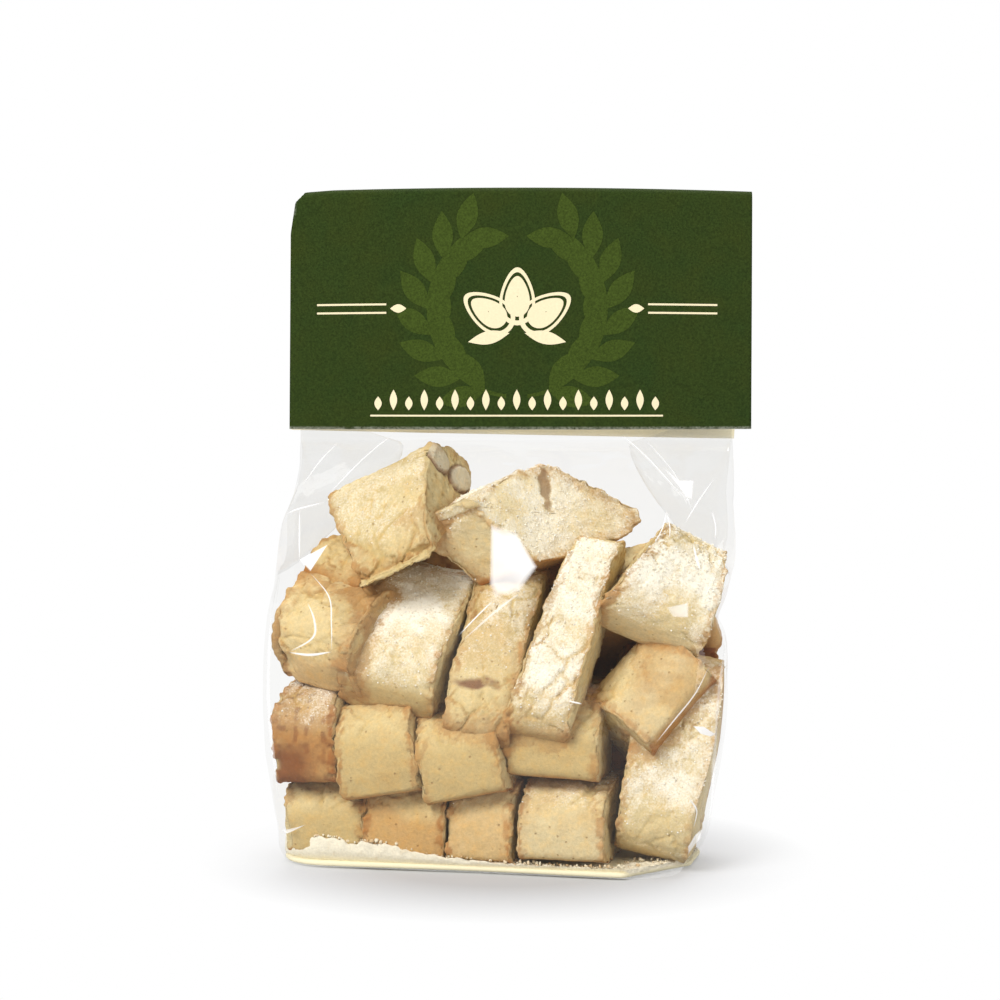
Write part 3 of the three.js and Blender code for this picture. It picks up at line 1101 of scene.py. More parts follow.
        patch = layered_noise(key, 15.0, 81)
        ends = smoothstep(np.abs(points[..., 1] / self.size[1] - 0.5), 0.42, 0.53) * (1.0 - topness)
        side = np.broadcast_to(np.array(self.crust.value), (*up.shape, 3))
        tint = blend(side, dome, topness * (0.85 if self.crust is not Crust.BROWNED else 0.2))
        tint = blend(tint, golden, 0.5 * smoothstep(patch, 0.05, 0.55))
        tint = blend(tint, golden, 0.25 * smoothstep(layered_noise(key, 5.0, 88), 0.0, 0.5))
        tint = blend(tint, ochre, 0.45 * masks["cracks"])
        tint = blend(tint, brown, smoothstep(up + 0.035 * patch, 0.09, 0.02) * 0.9 + 0.10 * ends)
        if self.crust is Crust.BROWNED:
            burnt = smoothstep(up + 0.22 * patch, 0.45, 0.22) * smoothstep(points[..., 0], 6.0, -3.0)
            tint = blend(tint, dark, 0.95 * burnt)
            tint = blend(tint, dark, 0.6 * smoothstep(value_noise(key, 1.5, 87), 0.25, 0.7))
        # Painted shade: the crust's pits are tinted brown.
        tint = blend(tint, brown, 0.45 * masks["pits"])
        worn = masks["rim"] * smoothstep(value_noise(key, 2.4, 83), -0.5, 0.5)
        tint = blend(tint, brown * 1.2, 0.34 * worn)
        # Painted shade: the crumb's holes turn golden; the noise part is the crumb's own uneven colour.
        crumb_tone_and_hole_shade = 0.35 * smoothstep(layered_noise(key, 4.0, 85), 0.0, 0.6)
        crumb_tone_and_hole_shade = crumb_tone_and_hole_shade + 0.55 * masks["holes"] * (1.0 - self.smooth_cut)
        cut = blend(crumb * (1.0 + 0.24 * self.smooth_cut), golden, crumb_tone_and_hole_shade)
        tint = blend(cut, tint, on_wall)
        tint = blend(tint, crumb, 0.75 * masks["bare"])
        tint = blend(tint, flesh, masks["almond"])
        tint = blend(tint, skin, 0.9 * masks["skin"])
        clouds = smoothstep(layered_noise(key, 9.0, 91) + 0.35 * layered_noise(key, 2.2, 93), -0.50, 0.40)
        clouds = 0.45 + 0.55 * clouds
        onward = points[..., 1] / self.size[1] + 0.12 * patch
        dusted = self.sugar * (0.10 + 0.90 * topness) * clouds * on_wall * (1.0 - 0.7 * masks["cracks"])
        dusted = dusted * (0.45 + 0.55 * smoothstep(onward, 0.08, 0.40))
        dusted = dusted + self.sugar * self.smooth_cut * 0.8 * clouds * (1.0 - on_wall)
        dusted = dusted * (1.0 - masks["underside"]) * (1.0 - masks["bare"]) * (1.0 - masks["skin"])
        tint = blend(tint, sugared, 0.5 * dusted)
        return tint, dusted

    def axes(self) -> Array:
        """The slice's own axes.

        Returns:
            Unit vectors as rows: across its width, along it and up through its top.
        """
        along = unit(self.along)
        top = np.asarray(self.top, float)
        top = unit(top - along * float(np.dot(top, along)))
        return np.stack([np.cross(along, top), along, top])

    def lay(self, form: BagForm) -> Fields:
        """Works out the slice where it lies in the bag.

        Args:
            form: the bag, which the slice stays inside.

        Returns:
            What shape() gives, placed, with the surface's normals.
        """
        made = self.shape()
        grid = made["points"].shape
        placed = made["points"].reshape(-1, 3) @ self.axes() + np.array(self.end)
        placed = form.hold_inside(placed, self.film_margin).reshape(grid)
        return {**made, "points": placed, "normals": -grid_normals(placed)}

    def build(self, laid: Fields, bench: Bench) -> Object:
        """Builds the slice's mesh.

        Args:
            laid: the slice as lay() gives it.
            bench: what it is built with.

        Returns:
            The slice's object.
        """
        rows, columns = laid["points"].shape[:2]
        count = rows * columns

        def with_hubs(values: Array) -> Array:
            """Adds the two hubs' values, each the mean of its ring."""
            flat = values.reshape(count, -1)
            return np.concatenate([flat, [flat[:columns].mean(axis=0), flat[-columns:].mean(axis=0)]])

        obj = bench.mesh(
            self.name,
            with_hubs(laid["points"]),
            closed_faces(rows, columns, flip=True),
            [bench.finishes.baked],
            numbers={"sugar": with_hubs(laid["sugar"]), "crumb": with_hubs(laid["crumb"])},
            colours={"tint": with_hubs(laid["tint"])},
        )
        return obj


def slices() -> list[BiscuitSlice]:
    """The slices in the bag, from the bottom row to the loose ones on top.

    Returns:
        Each slice with its place.
    """
    back = (0.20, 0.98, 0)
    nuts = AlmondInCut(1, 30, 6, 1.2, 11, 6.5), AlmondInCut(1, 28, -5, 1.9, 11, 7)
    smear = AlmondInCut(1, 31, 6.5, 4.5, 12, 4, flesh=0)
    flecks = (-1.6, 11.5, 0.25, 13, 2.8), (2.6, 12.6, -0.5, 6, 2.2)
    return [
        # Bottom row, ends to the front.
        BiscuitSlice("slice_bottom_far_left", (-49, -13.5, 13), back, (0, 0, 1), (22, 40, 20),
                     Crust.PALE, sugar=0.2, seed=3, broken=0.4),
        BiscuitSlice("slice_bottom_left", (-28, -17.5, 13), back, (0.03, 0, 1), (21, 42, 21),
                     Crust.TOASTED, sugar=0.1, seed=4),
        BiscuitSlice("slice_bottom_middle", (-8.5, -21.5, 12.6), back, (0.02, 0, 1), (17.5, 44, 21),
                     Crust.GOLDEN, sugar=0.5, seed=5, ragged=1.3),
        BiscuitSlice("slice_bottom_right", (12.8, -25, 13.2), back, (0.02, 0, 1), (23, 48, 21),
                     Crust.LIGHT, sugar=0.7, seed=6),
        BiscuitSlice("slice_standing_right", (36, -17, 4), (0.24, 0.20, 0.95), (-0.10, -0.98, 0.18),
                     (23, 54, 22), Crust.PALE, sugar=0.7, seed=7, taper=0.2, cracked=0.5),
        # Second row.
        BiscuitSlice("slice_browned_left", (-54.3, -16, 34), (0.3, 0.95, 0.05), (-0.15, -0.35, 0.9),
                     (16.5, 42, 25), Crust.BROWNED, sugar=0.8, seed=8, ragged=1.4, coarse=0.9),
        BiscuitSlice("slice_second_left", (-36, -21.5, 32), back, (-0.17, 0, 1), (21.5, 50, 26),
                     Crust.PALE, sugar=0.08, seed=9),
        BiscuitSlice("slice_second_middle", (-14, -25, 31.5), back, (-0.20, 0, 1), (21, 52, 25),
                     Crust.PALE, sugar=0.08, seed=10, slant=0.08),
        BiscuitSlice("slice_second_right", (10.4, -23.5, 36), back, (0.05, 0, 1), (24, 48, 24),
                     Crust.PALE, sugar=0.15, seed=12),
        # Third row, leaning back with their domed tops to the front.
        BiscuitSlice("slice_third_far_left", (-52, -14, 53), (0.48, 0.58, 0.64), (-0.35, -0.75, 0.55),
                     (25, 28, 22), Crust.GOLDEN, sugar=0.15, seed=13, broken=0.8),
        BiscuitSlice("slice_third_left", (-34, -18, 47), (0.40, 0.64, 0.66), (-0.08, -0.75, 0.66),
                     (25, 45, 22), Crust.PALE, sugar=1, seed=14, skew=-0.05, slant=0.12, cracked=0.5,
                     heel=0.18),
        BiscuitSlice("slice_third_middle", (-9.9, -21.5, 35.5), (0.23, 0.53, 0.81), (-0.05, -0.85, 0.52),
                     (18, 52, 20), Crust.PALE, sugar=0.45, seed=15, skins=flecks),
        BiscuitSlice("slice_third_long", (2.6, -23.1, 36.7), (0.43, 0.30, 0.85), (-0.16, -0.95, 0.26),
                     (14, 57, 20), Crust.PALE, sugar=0.8, seed=16, taper=-0.35, skew=-0.12, slant=0.25,
                     cracked=0.8),
        BiscuitSlice("slice_right_lower", (35.3, -22, 50.3), (0.05, 0.88, -0.44), (-0.74, 0.36, 0.56),
                     (26, 40, 24), Crust.LIGHT, sugar=0.4, seed=17),
        BiscuitSlice("slice_right_upper", (36, -19, 62.5), (0.30, 0.56, 0.77), (0.32, -0.83, 0.46),
                     (23, 30, 22), Crust.LIGHT, sugar=1, seed=18, taper=-0.6, skew=0.12),
        # On top, and one behind on the left.
        BiscuitSlice("slice_behind_left", (-47.5, -7, 74.5), (0.55, 0.83, 0.05), (0.1, -0.35, 0.93),
                     (18, 36, 17), Crust.TOASTED, sugar=0.1, seed=19),
        BiscuitSlice("slice_top_left", (-24.6, -13.5, 74), (-0.17, 0.60, 0.78), (-0.51, -0.73, 0.45),
                     (27, 36, 24), Crust.PALE, sugar=0.32, seed=20, taper=0.45, broken=0.35, chip=0.95,
                     chip_reach=0.65, almonds=nuts),
        BiscuitSlice("slice_top_right", (-16.8, -16.5, 85.5), (0.775, 0.615, 0.13), (-0.42, 0.18, 0.88),
                     (15, 53, 25), Crust.LIGHT, sugar=1, seed=21, slant=0.6, cracked=0.4, waist=0.5,
                     side_curve=0.85, under_curve=0.6, heel=0.5, chip=0.85, smooth_cut=0.8, almonds=(smear,)),
        # Behind the leaning row, seen from the back.
        BiscuitSlice("slice_back_low", (38, 9, 6), (0.08, 0.02, 0.99), (0.10, 0.99, 0), (25, 50, 20),
                     Crust.BROWNED, sugar=0.2, seed=25, detail=0.75),
        BiscuitSlice("slice_back_left", (-46, 14, 58), (0.99, 0, 0.05), (0.05, 0.5, 0.86),
                     (21, 50, 22), Crust.GOLDEN, sugar=0.6, seed=22, detail=0.75),
        BiscuitSlice("slice_back_right", (10, 15, 59.5), (0.96, -0.08, 0.22), (0, 0.6, 0.8),
                     (26, 44, 24), Crust.TOASTED, sugar=0.35, seed=23, detail=0.75),
        # A slice behind, given a browned crust with hardly any sugar as painted shade for the dark gap below
        # the top slices.
        BiscuitSlice("slice_back_upper", (-30, 12, 74), (0.97, 0.05, 0.10), (-0.1, -0.85, 0.45),
                     (20, 46, 20), Crust.BROWNED, sugar=0.05, seed=24, detail=0.75),
    ]


def paint_gap_shade(
    laid: Sequence[Fields],
    cell: float = 1.5,
    looks: Pairs = ((3.2, 1.0), (4.6, 0.7), (6.4, 0.4)),
    shadow: Triple = (0.62, 0.38, 0.22),
) -> None:
    """Paints shade into the slices: the crumb is made darker and warmer, and carries less sugar, where
    another slice lies close in front of it.

    The space is cut into cells, the cells that hold a surface are marked and spread to their
    neighbours, and each point looks them up a few steps out along its normal.

    Args:
        laid: the slices as lay() gives them; their tints are changed.
        cell: size of a cell.
        looks: how far out each look goes, and what it counts for.
        shadow: what the tint is multiplied by in a gap.
    """
    everything = np.concatenate([item["points"].reshape(-1, 3) for item in laid])
    border = 12.0
    low = everything.min(axis=0) - border
    full = np.zeros(np.ceil((everything.max(axis=0) + border - low) / cell).astype(int))
    full[tuple(((everything - low) / cell).astype(int).T)] = 1.0
    for axis in range(3):
        full = (np.roll(full, 1, axis) + full + np.roll(full, -1, axis)) / 3.0
    for item in laid:
        close = np.zeros(item["points"].shape[:2])
        for reach, weight in looks:
            spot = ((item["points"] + reach * item["normals"] - low) / cell).astype(int)
            spot = np.clip(spot, 0, np.array(full.shape) - 1)
            close = np.maximum(close, weight * smoothstep(full[tuple(np.moveaxis(spot, -1, 0))], 0.22, 0.75))
        # Painted shade: the tint is darkened and the sugar thinned where another slice lies close.
        share = 0.75 * close[..., None]
        item["tint"] = item["tint"] * (1.0 - share) + item["tint"] * np.array(shadow) * share
        item["sugar"] = item["sugar"] * (1.0 - 0.7 * close)


@dataclass
class SugarGrains:
    """Coarse sugar on the domed tops: small uneven blocks, one mesh for all."""

    bench: Bench
    count: int = 7000
    sizes: Pair = (0.22, 0.46)
    least_cover: float = 0.12
    scatter: float = 0.3
    lift: float = 0.08
    film_margin: float = 0.6
    seed: int = 5

    def build(self, laid: Sequence[Fields]) -> Object:
        """Scatters the grains where the slices carry sugar.

        Args:
            laid: the slices as they lie in the bag.

        Returns:
            The grains' object.
        """
        draw = np.random.default_rng(self.seed)
        points = np.concatenate([item["points"].reshape(-1, 3) for item in laid])
        normals = np.concatenate([item["normals"].reshape(-1, 3) for item in laid])
        cover = np.concatenate([item["sugar"].ravel() for item in laid])
        weight = np.clip(cover - self.least_cover, 0.0, 1.0) ** 1.5
        picked = draw.choice(len(points), self.count, p=weight / weight.sum())
        moved = draw.uniform(-self.scatter, self.scatter, (self.count, 3))
        centres = points[picked] + moved + self.lift * normals[picked]
        centres = self.bench.form.hold_inside(centres, self.film_margin)
        spread = draw.uniform(*self.sizes, (self.count, 1)) * draw.uniform(0.6, 1.0, (self.count, 3))
        first = draw.normal(size=(self.count, 3))
        first /= np.linalg.norm(first, axis=1, keepdims=True)
        second = np.cross(first, draw.normal(size=(self.count, 3)))
        second /= np.linalg.norm(second, axis=1, keepdims=True)
        turns = np.stack([first, second, np.cross(first, second)], axis=1)
        block = np.array([[x, y, z] for x in (-0.5, 0.5) for y in (-0.5, 0.5) for z in (-0.5, 0.5)])
        corners = np.einsum("nck,nkj->ncj", block[None] * spread[:, None], turns) + centres[:, None]
        sides = np.array([[0, 1, 3, 2], [4, 6, 7, 5], [0, 4, 5, 1], [2, 3, 7, 6], [0, 2, 6, 4], [1, 5, 7, 3]])
        faces = (np.arange(self.count)[:, None, None] * 8 + sides[None]).reshape(-1, 4)
        shade = np.repeat(draw.random(self.count), 8)
        material = self.bench.finishes.sugar
        obj = self.bench.mesh(
            "sugar_grains", corners.reshape(-1, 3), [faces], [material], {"shade": shade}, smooth=False
        )
        return obj


# ---- The film, the board and the loose crumbs ----


@dataclass
class Film:
    """The clear film: the bag's form with folds, and the pull of the header."""

    bench: Bench
    face_steps: int = 150
    corner_steps: int = 9
    side_steps: int = 24
    level_step: float = 1.05
    crumple: float = 0.9
    body_crumple: float = 0.35
    push: float = 0.8
    ridge_cell: float = 17.0
    fine_cell: float = 7.0
    shoulder_rise: Pair = (60.0, 92.0)
    body_rise: Pair = (4.0, 14.0)
    body_fade: Pair = (95.0, 75.0)
    surface: Array = field(init=False)

    def __post_init__(self) -> None:
        """Works out the film's points once, for the film and for all that lies on it."""
        self.surface = self.folded()

    def heights(self) -> Array:
        """The levels, closer together at the foot.

        Returns:
            Their heights.
        """
        foot = np.array([0.0, 0.15, 0.4, 0.8, 1.3, 1.9, 2.6, 3.4, 4.3])
        rest = np.arange(5.3, self.bench.form.neck_top, self.level_step)
        return np.concatenate([foot, rest, [self.bench.form.neck_top]])

    def folded(self) -> Array:
        """The film's points: the form pushed inwards along ridges, most of all at the shoulder.

        Returns:
            Places, shape (levels, points of a level, 3).
        """
        points = self.bench.form.sections(self.heights(), self.face_steps, self.corner_steps, self.side_steps)
        z = points[..., 2]
        card_bottom = self.bench.form.card_bottom
        slack = smoothstep(z, *self.shoulder_rise) * smoothstep(z, card_bottom, card_bottom - 10.0)
        body = smoothstep(z, *self.body_rise) * smoothstep(z, *self.body_fade)
        tall, taller = points * np.array([1.0, 1.0, 0.55]), points * np.array([1.0, 1.0, 0.4])
        ridge = 1.0 - 2.0 * np.abs(layered_noise(tall, self.ridge_cell, 201, layers=2))
        fine = 1.0 - 2.0 * np.abs(value_noise(taller, self.fine_cell, 211))
        push = self.crumple * slack * (ridge + 0.4 * fine) + self.body_crumple * body * (ridge + 0.5 * fine)
        return points - grid_normals(points) * (self.push * np.maximum(push, -0.2))[..., None]

    def front_depth(self, x: Array, z: Array) -> Array:
        """The film's y on its front side, read from a table of x and z by bilinear mixing.

        Args:
            x: places across.
            z: heights.

        Returns:
            The film's y at each place.
        """
        low, high, step = -70.0, 66.0, 0.5
        across = np.arange(low, high, step)
        front = np.roll(self.surface, self.corner_steps, axis=1)[:, : self.face_steps + 2 * self.corner_steps]
        table = np.stack([np.interp(across, row[:, 0], row[:, 1]) for row in front])
        levels = len(self.surface)
        row = np.clip(np.interp(z, self.surface[:, 0, 2], np.arange(levels)), 0, levels - 1.001)
        column = np.clip((x - low) / step, 0, len(across) - 1.001)
        i, j = row.astype(int), column.astype(int)
        s, t = row - i, column - j
        upper = table[i, j] * (1 - t) + table[i, j + 1] * t
        lower = table[i + 1, j] * (1 - t) + table[i + 1, j + 1] * t
        return upper * (1 - s) + lower * s

    def build(self) -> Object:
        """Builds the film as one closed bag.

        Returns:
            The film's object.
        """
        points = np.concatenate([self.surface.reshape(-1, 3), self.surface[[0, -1]].mean(axis=1)])
        faces = closed_faces(*self.surface.shape[:2])
        obj = self.bench.mesh("film_bag", points, faces, [self.bench.finishes.film])
        return obj


@dataclass(frozen=True)
class CreaseAndHighlight:
    """A sharp fold line in the film's front, white partly from the film's own whitening and partly as painted
    highlight: (x, z) points, greatest width and whiteness.
    """

    route: Pairs
    width: float = 0.5
    veil: float = 0.8


@dataclass
class FilmCreasesAndGlints:
    """White creased lines, partly the film's own whitening and partly painted highlight, and painted glints:
    white shapes standing for the lamps' reflections on the front of the film.
    """

    film: Film
    lift: float = 0.10
    line_steps: int = 36
    glint_rings: int = 9
    glint_steps: int = 6
    band: tuple[Triple, ...] = (  # place across a line, height and whiteness there
        (-1.0, 0.0, 0.0), (-0.5, 0.10, 0.75), (0.0, 0.14, 1.0), (0.5, 0.10, 0.75), (1.0, 0.0, 0.0),
    )
    lines: tuple[CreaseAndHighlight, ...] = (
        # Left shoulder and side.
        CreaseAndHighlight(((-54.4, 94.6), (-54.3, 88), (-54.2, 82.3)), 0.45, 0.8),
        CreaseAndHighlight(((-51.4, 79), (-46.6, 72.9), (-46, 66), (-46, 58.8)), 0.5, 0.75),
        CreaseAndHighlight(((-46, 58.8), (-51.4, 58), (-57, 58.5)), 0.9, 0.85),
        CreaseAndHighlight(((-52.2, 71.8), (-50.4, 67), (-50.8, 62.5), (-57, 58.5)), 0.8, 0.75),
        CreaseAndHighlight(((-53.9, 100.3), (-49.5, 106), (-45, 110.5)), 0.5, 0.5),
        CreaseAndHighlight(((-47.6, 97.7), (-39, 106), (-31, 112.5)), 0.5, 0.6),
        CreaseAndHighlight(((-57.8, 93.1), (-54.7, 94.6), (-47.6, 96.4)), 0.6, 0.6),
        # Long soft folds at both shoulders and down both sides.
        CreaseAndHighlight(((28, 113), (36, 106), (44.5, 97)), 0.7, 0.45),
        CreaseAndHighlight(((34, 112), (42, 103), (47, 93)), 0.5, 0.4),
        CreaseAndHighlight(((54.5, 60), (52.5, 45), (51.5, 20)), 2.4, 0.35),
        CreaseAndHighlight(((-61.5, 70), (-62.6, 45), (-60.5, 18)), 2.2, 0.30),
        # Tails of the middle painted glint.
        CreaseAndHighlight(((-4.3, 72.6), (-9, 68), (-13.7, 63.1)), 0.5, 0.8),
        CreaseAndHighlight(((2.1, 74.1), (-4, 69.5), (-12.7, 61.8)), 0.9, 0.45),
        # Right shoulder.
        CreaseAndHighlight(((36.2, 85.7), (38.6, 90), (39.8, 94.1)), 0.4, 0.8),
        CreaseAndHighlight(((39.8, 94.1), (40.5, 90), (40.3, 87.5)), 0.4, 0.8),
        CreaseAndHighlight(((52.5, 102.3), (48, 96.5), (44.1, 90.8)), 0.5, 0.5),
        CreaseAndHighlight(((51.2, 94.4), (52.2, 90.5), (52, 87)), 0.5, 0.6),
        CreaseAndHighlight(((46.4, 86.2), (47.2, 82.5), (48.2, 79.5)), 0.8, 0.7),
        # Right side and foot.
        CreaseAndHighlight(((36.5, 36.2), (41.5, 42.5), (46.7, 49), (50.5, 56)), 0.5, 0.65),
        CreaseAndHighlight(((51.8, 31.1), (51.6, 22), (50.5, 13.2)), 0.45, 0.6),
        CreaseAndHighlight(((45.2, 21.8), (47.3, 17.8), (46.6, 13)), 0.9, 0.85),
        CreaseAndHighlight(((14.3, 46.7), (16.3, 46.3), (17.9, 46)), 0.6, 0.8),
    )
    # Painted glints: white shapes standing for the lamps' reflections; each corner is (x, z, whiteness).
    painted_glints: tuple[tuple[Triple, ...], ...] = (
        ((-5.5, 91.3, 0.7), (1.3, 89.2, 0.95), (6.7, 80.5, 0.9), (2.1, 74.1, 0.5), (-4.3, 72.6, 0.45),
         (-5.8, 75.9, 0.6)),
        ((-54.4, 82.3, 0.75), (-46.8, 86.2, 0.8), (-51.4, 79.3, 0.9)),
        ((39, 104.9, 0.3), (43, 101.5, 0.5), (47, 101.5, 0.6), (46.4, 96.9, 0.7), (44.9, 97.7, 0.9)),
        ((45.9, 40.8, 0.8), (49, 40.3, 0.95), (52.5, 37.5, 0.9), (51, 37.2, 0.9), (47.9, 38.5, 0.9)),
        ((45.4, 6, 0.6), (45.1, 8.2, 0.8), (47.2, 11.1, 0.8), (49, 12.7, 0.5), (48.7, 10.1, 0.5)),
        ((-60, 9.2, 0.4), (-53.2, 12, 0.5), (-58.8, 8.4, 0.8)),
        ((39.3, 70.5, 0.3), (45.1, 71.8, 0.5), (45.1, 67.9, 0.5), (41, 68, 0.3)),
    )

    def outward(self, x: Array, z: Array) -> tuple[Array, Array]:
        """Places on the film's front and the film's normals there, from small differences.

        Args:
            x: places across.
            z: heights.

        Returns:
            Places and outward unit normals.
        """
        reach = 0.6
        depth = self.film.front_depth
        y = depth(x, z)
        slope_x = (depth(x + reach, z) - depth(x - reach, z)) / (2 * reach)
        slope_z = (depth(x, z + reach) - depth(x, z - reach)) / (2 * reach)
        normal = np.stack([slope_x, -np.ones_like(y), slope_z], axis=-1)
        return np.stack([x, y, z], axis=-1), normal / np.linalg.norm(normal, axis=-1, keepdims=True)

    def join(self, name: str, points: list, faces: list, veils: list) -> Object:
        """Joins what was laid on the film into one object.

        Args:
            name: the object's name.
            points: the places in each part, in millimetres.
            faces: the faces of each part.
            veils: how white the film is at each part's points.

        Returns:
            The object.
        """
        bench, numbers = self.film.bench, {"veil": np.concatenate(veils)}
        obj = bench.mesh(name, np.concatenate(points), faces, [bench.finishes.crease], numbers)
        return obj

    def build_lines(self) -> Object:
        """Lays each line, white partly from whitening and partly as painted highlight, as a thin raised band:
        its width grows and fades as sin(pi t) along it.

        Returns:
            The creases' object.
        """
        steps, wide = self.line_steps, len(self.band)
        points, faces, veils = [], [], []
        t = np.linspace(0.0, 1.0, steps)
        for line in self.lines:
            route = np.array(line.route)
            knots = np.linspace(0.0, 1.0, len(route))
            x = through(list(zip(knots, route[:, 0])), t)
            z = through(list(zip(knots, route[:, 1])), t)
            places, normals = self.outward(x, z)
            way = np.gradient(places, axis=0)
            aside = np.cross(normals, way)
            aside /= np.linalg.norm(aside, axis=-1, keepdims=True)
            swell = np.sin(math.pi * t)[:, None] ** 0.6
            rows = [
                places + normals * self.lift + aside * side * line.width / 2 * swell + normals * high * swell
                for side, high, _ in self.band
            ]
            start = wide * steps * len(points)
            points.append(np.stack(rows, axis=1).reshape(-1, 3))
            faces.append(grid_faces(steps, wide, wrap=False, start=start))
            whiteness = np.array([white for _, _, white in self.band]) * np.minimum(swell * 1.3, 1.0)
            veils.append((line.veil * whiteness).ravel())
        return self.join("film_crease_and_highlight_lines", points, faces, veils)

    def build_painted_glints(self) -> Object:
        """Lays each painted glint, a white shape standing for a lamp's reflection, on the film: rings shrink
        from its outline to its middle.

        Returns:
            The painted glints' object.
        """
        rings = np.linspace(0.0, 1.0, self.glint_rings)[:, None, None]
        points, faces, veils, count = [], [], [], 0
        for corners in self.painted_glints:
            outline = np.array(corners)
            onward = np.roll(outline, -1, axis=0)
            steps = np.linspace(0.0, 1.0, self.glint_steps, endpoint=False)[None, :, None]
            sides = (outline[:, None] + steps * (onward - outline)[:, None]).reshape(-1, 3)
            centre = sides.mean(axis=0)
            grid = centre + rings * (sides[None] - centre)
            x, z = grid[..., 0], grid[..., 1]
            y = self.film.front_depth(x, z) - self.lift
            points.append(np.stack([x, y, z], axis=-1).reshape(-1, 3))
            faces.append(grid_faces(len(rings), len(sides), wrap=True, start=count)[:, ::-1])
            edge = smoothstep(rings[..., 0], 1.0, 0.8)
            veils.append((grid[..., 2] * edge).ravel())
            count += len(rings) * len(sides)
        return self.join("film_painted_glints", points, faces, veils)


@dataclass
class BaseBoard:
    """The cream board that the slices stand on, inside the foot of the film."""

    bench: Bench
    low: float = 0.7
    high: float = 1.9
    section_height: float = 6.0
    margin: float = 1.9
    edge: float = 0.35
    cut_angle: float = math.radians(42.0)
    cut_reach: float = 43.5

    def outline(self, margin: float) -> tuple[Array, Array]:
        """The foot's outline, drawn in by a margin.

        Args:
            margin: distance from the film.

        Returns:
            Places (x, y) around the foot, and the foot's middle.
        """
        heights = np.array([self.section_height])
        section = self.bench.form.sections(heights, face=60, corner=8, side=12)[0, :, :2]
        middle = section.mean(axis=0)
        spread = section - middle
        reach = np.linalg.norm(spread, axis=1, keepdims=True)
        ring = middle + spread * (reach - margin) / reach
        aside = np.array([math.sin(self.cut_angle), -math.cos(self.cut_angle)])
        over = np.maximum(ring @ aside - (self.cut_reach - margin), 0.0)
        return ring - over[:, None] * aside, middle

    def build(self) -> Object:
        """Builds the board as a closed plate with rounded edges.

        Returns:
            The board's object.
        """
        rings = []
        low, high, edge = self.low, self.high, self.edge
        for level, inset in ((low, edge), (low + edge, 0.0), (high - edge, 0.0), (high, edge)):
            ring, middle = self.outline(self.margin + inset)
            rings.append(np.column_stack([ring, np.full(len(ring), level)]))
        points = np.concatenate([*rings, [[*middle, self.low]], [[*middle, self.high]]])
        faces = closed_faces(len(rings), len(rings[0]))
        numbers = {"rub": np.zeros(len(points))}
        obj = self.bench.mesh("base_board", points, faces, [self.bench.finishes.board], numbers)
        return obj


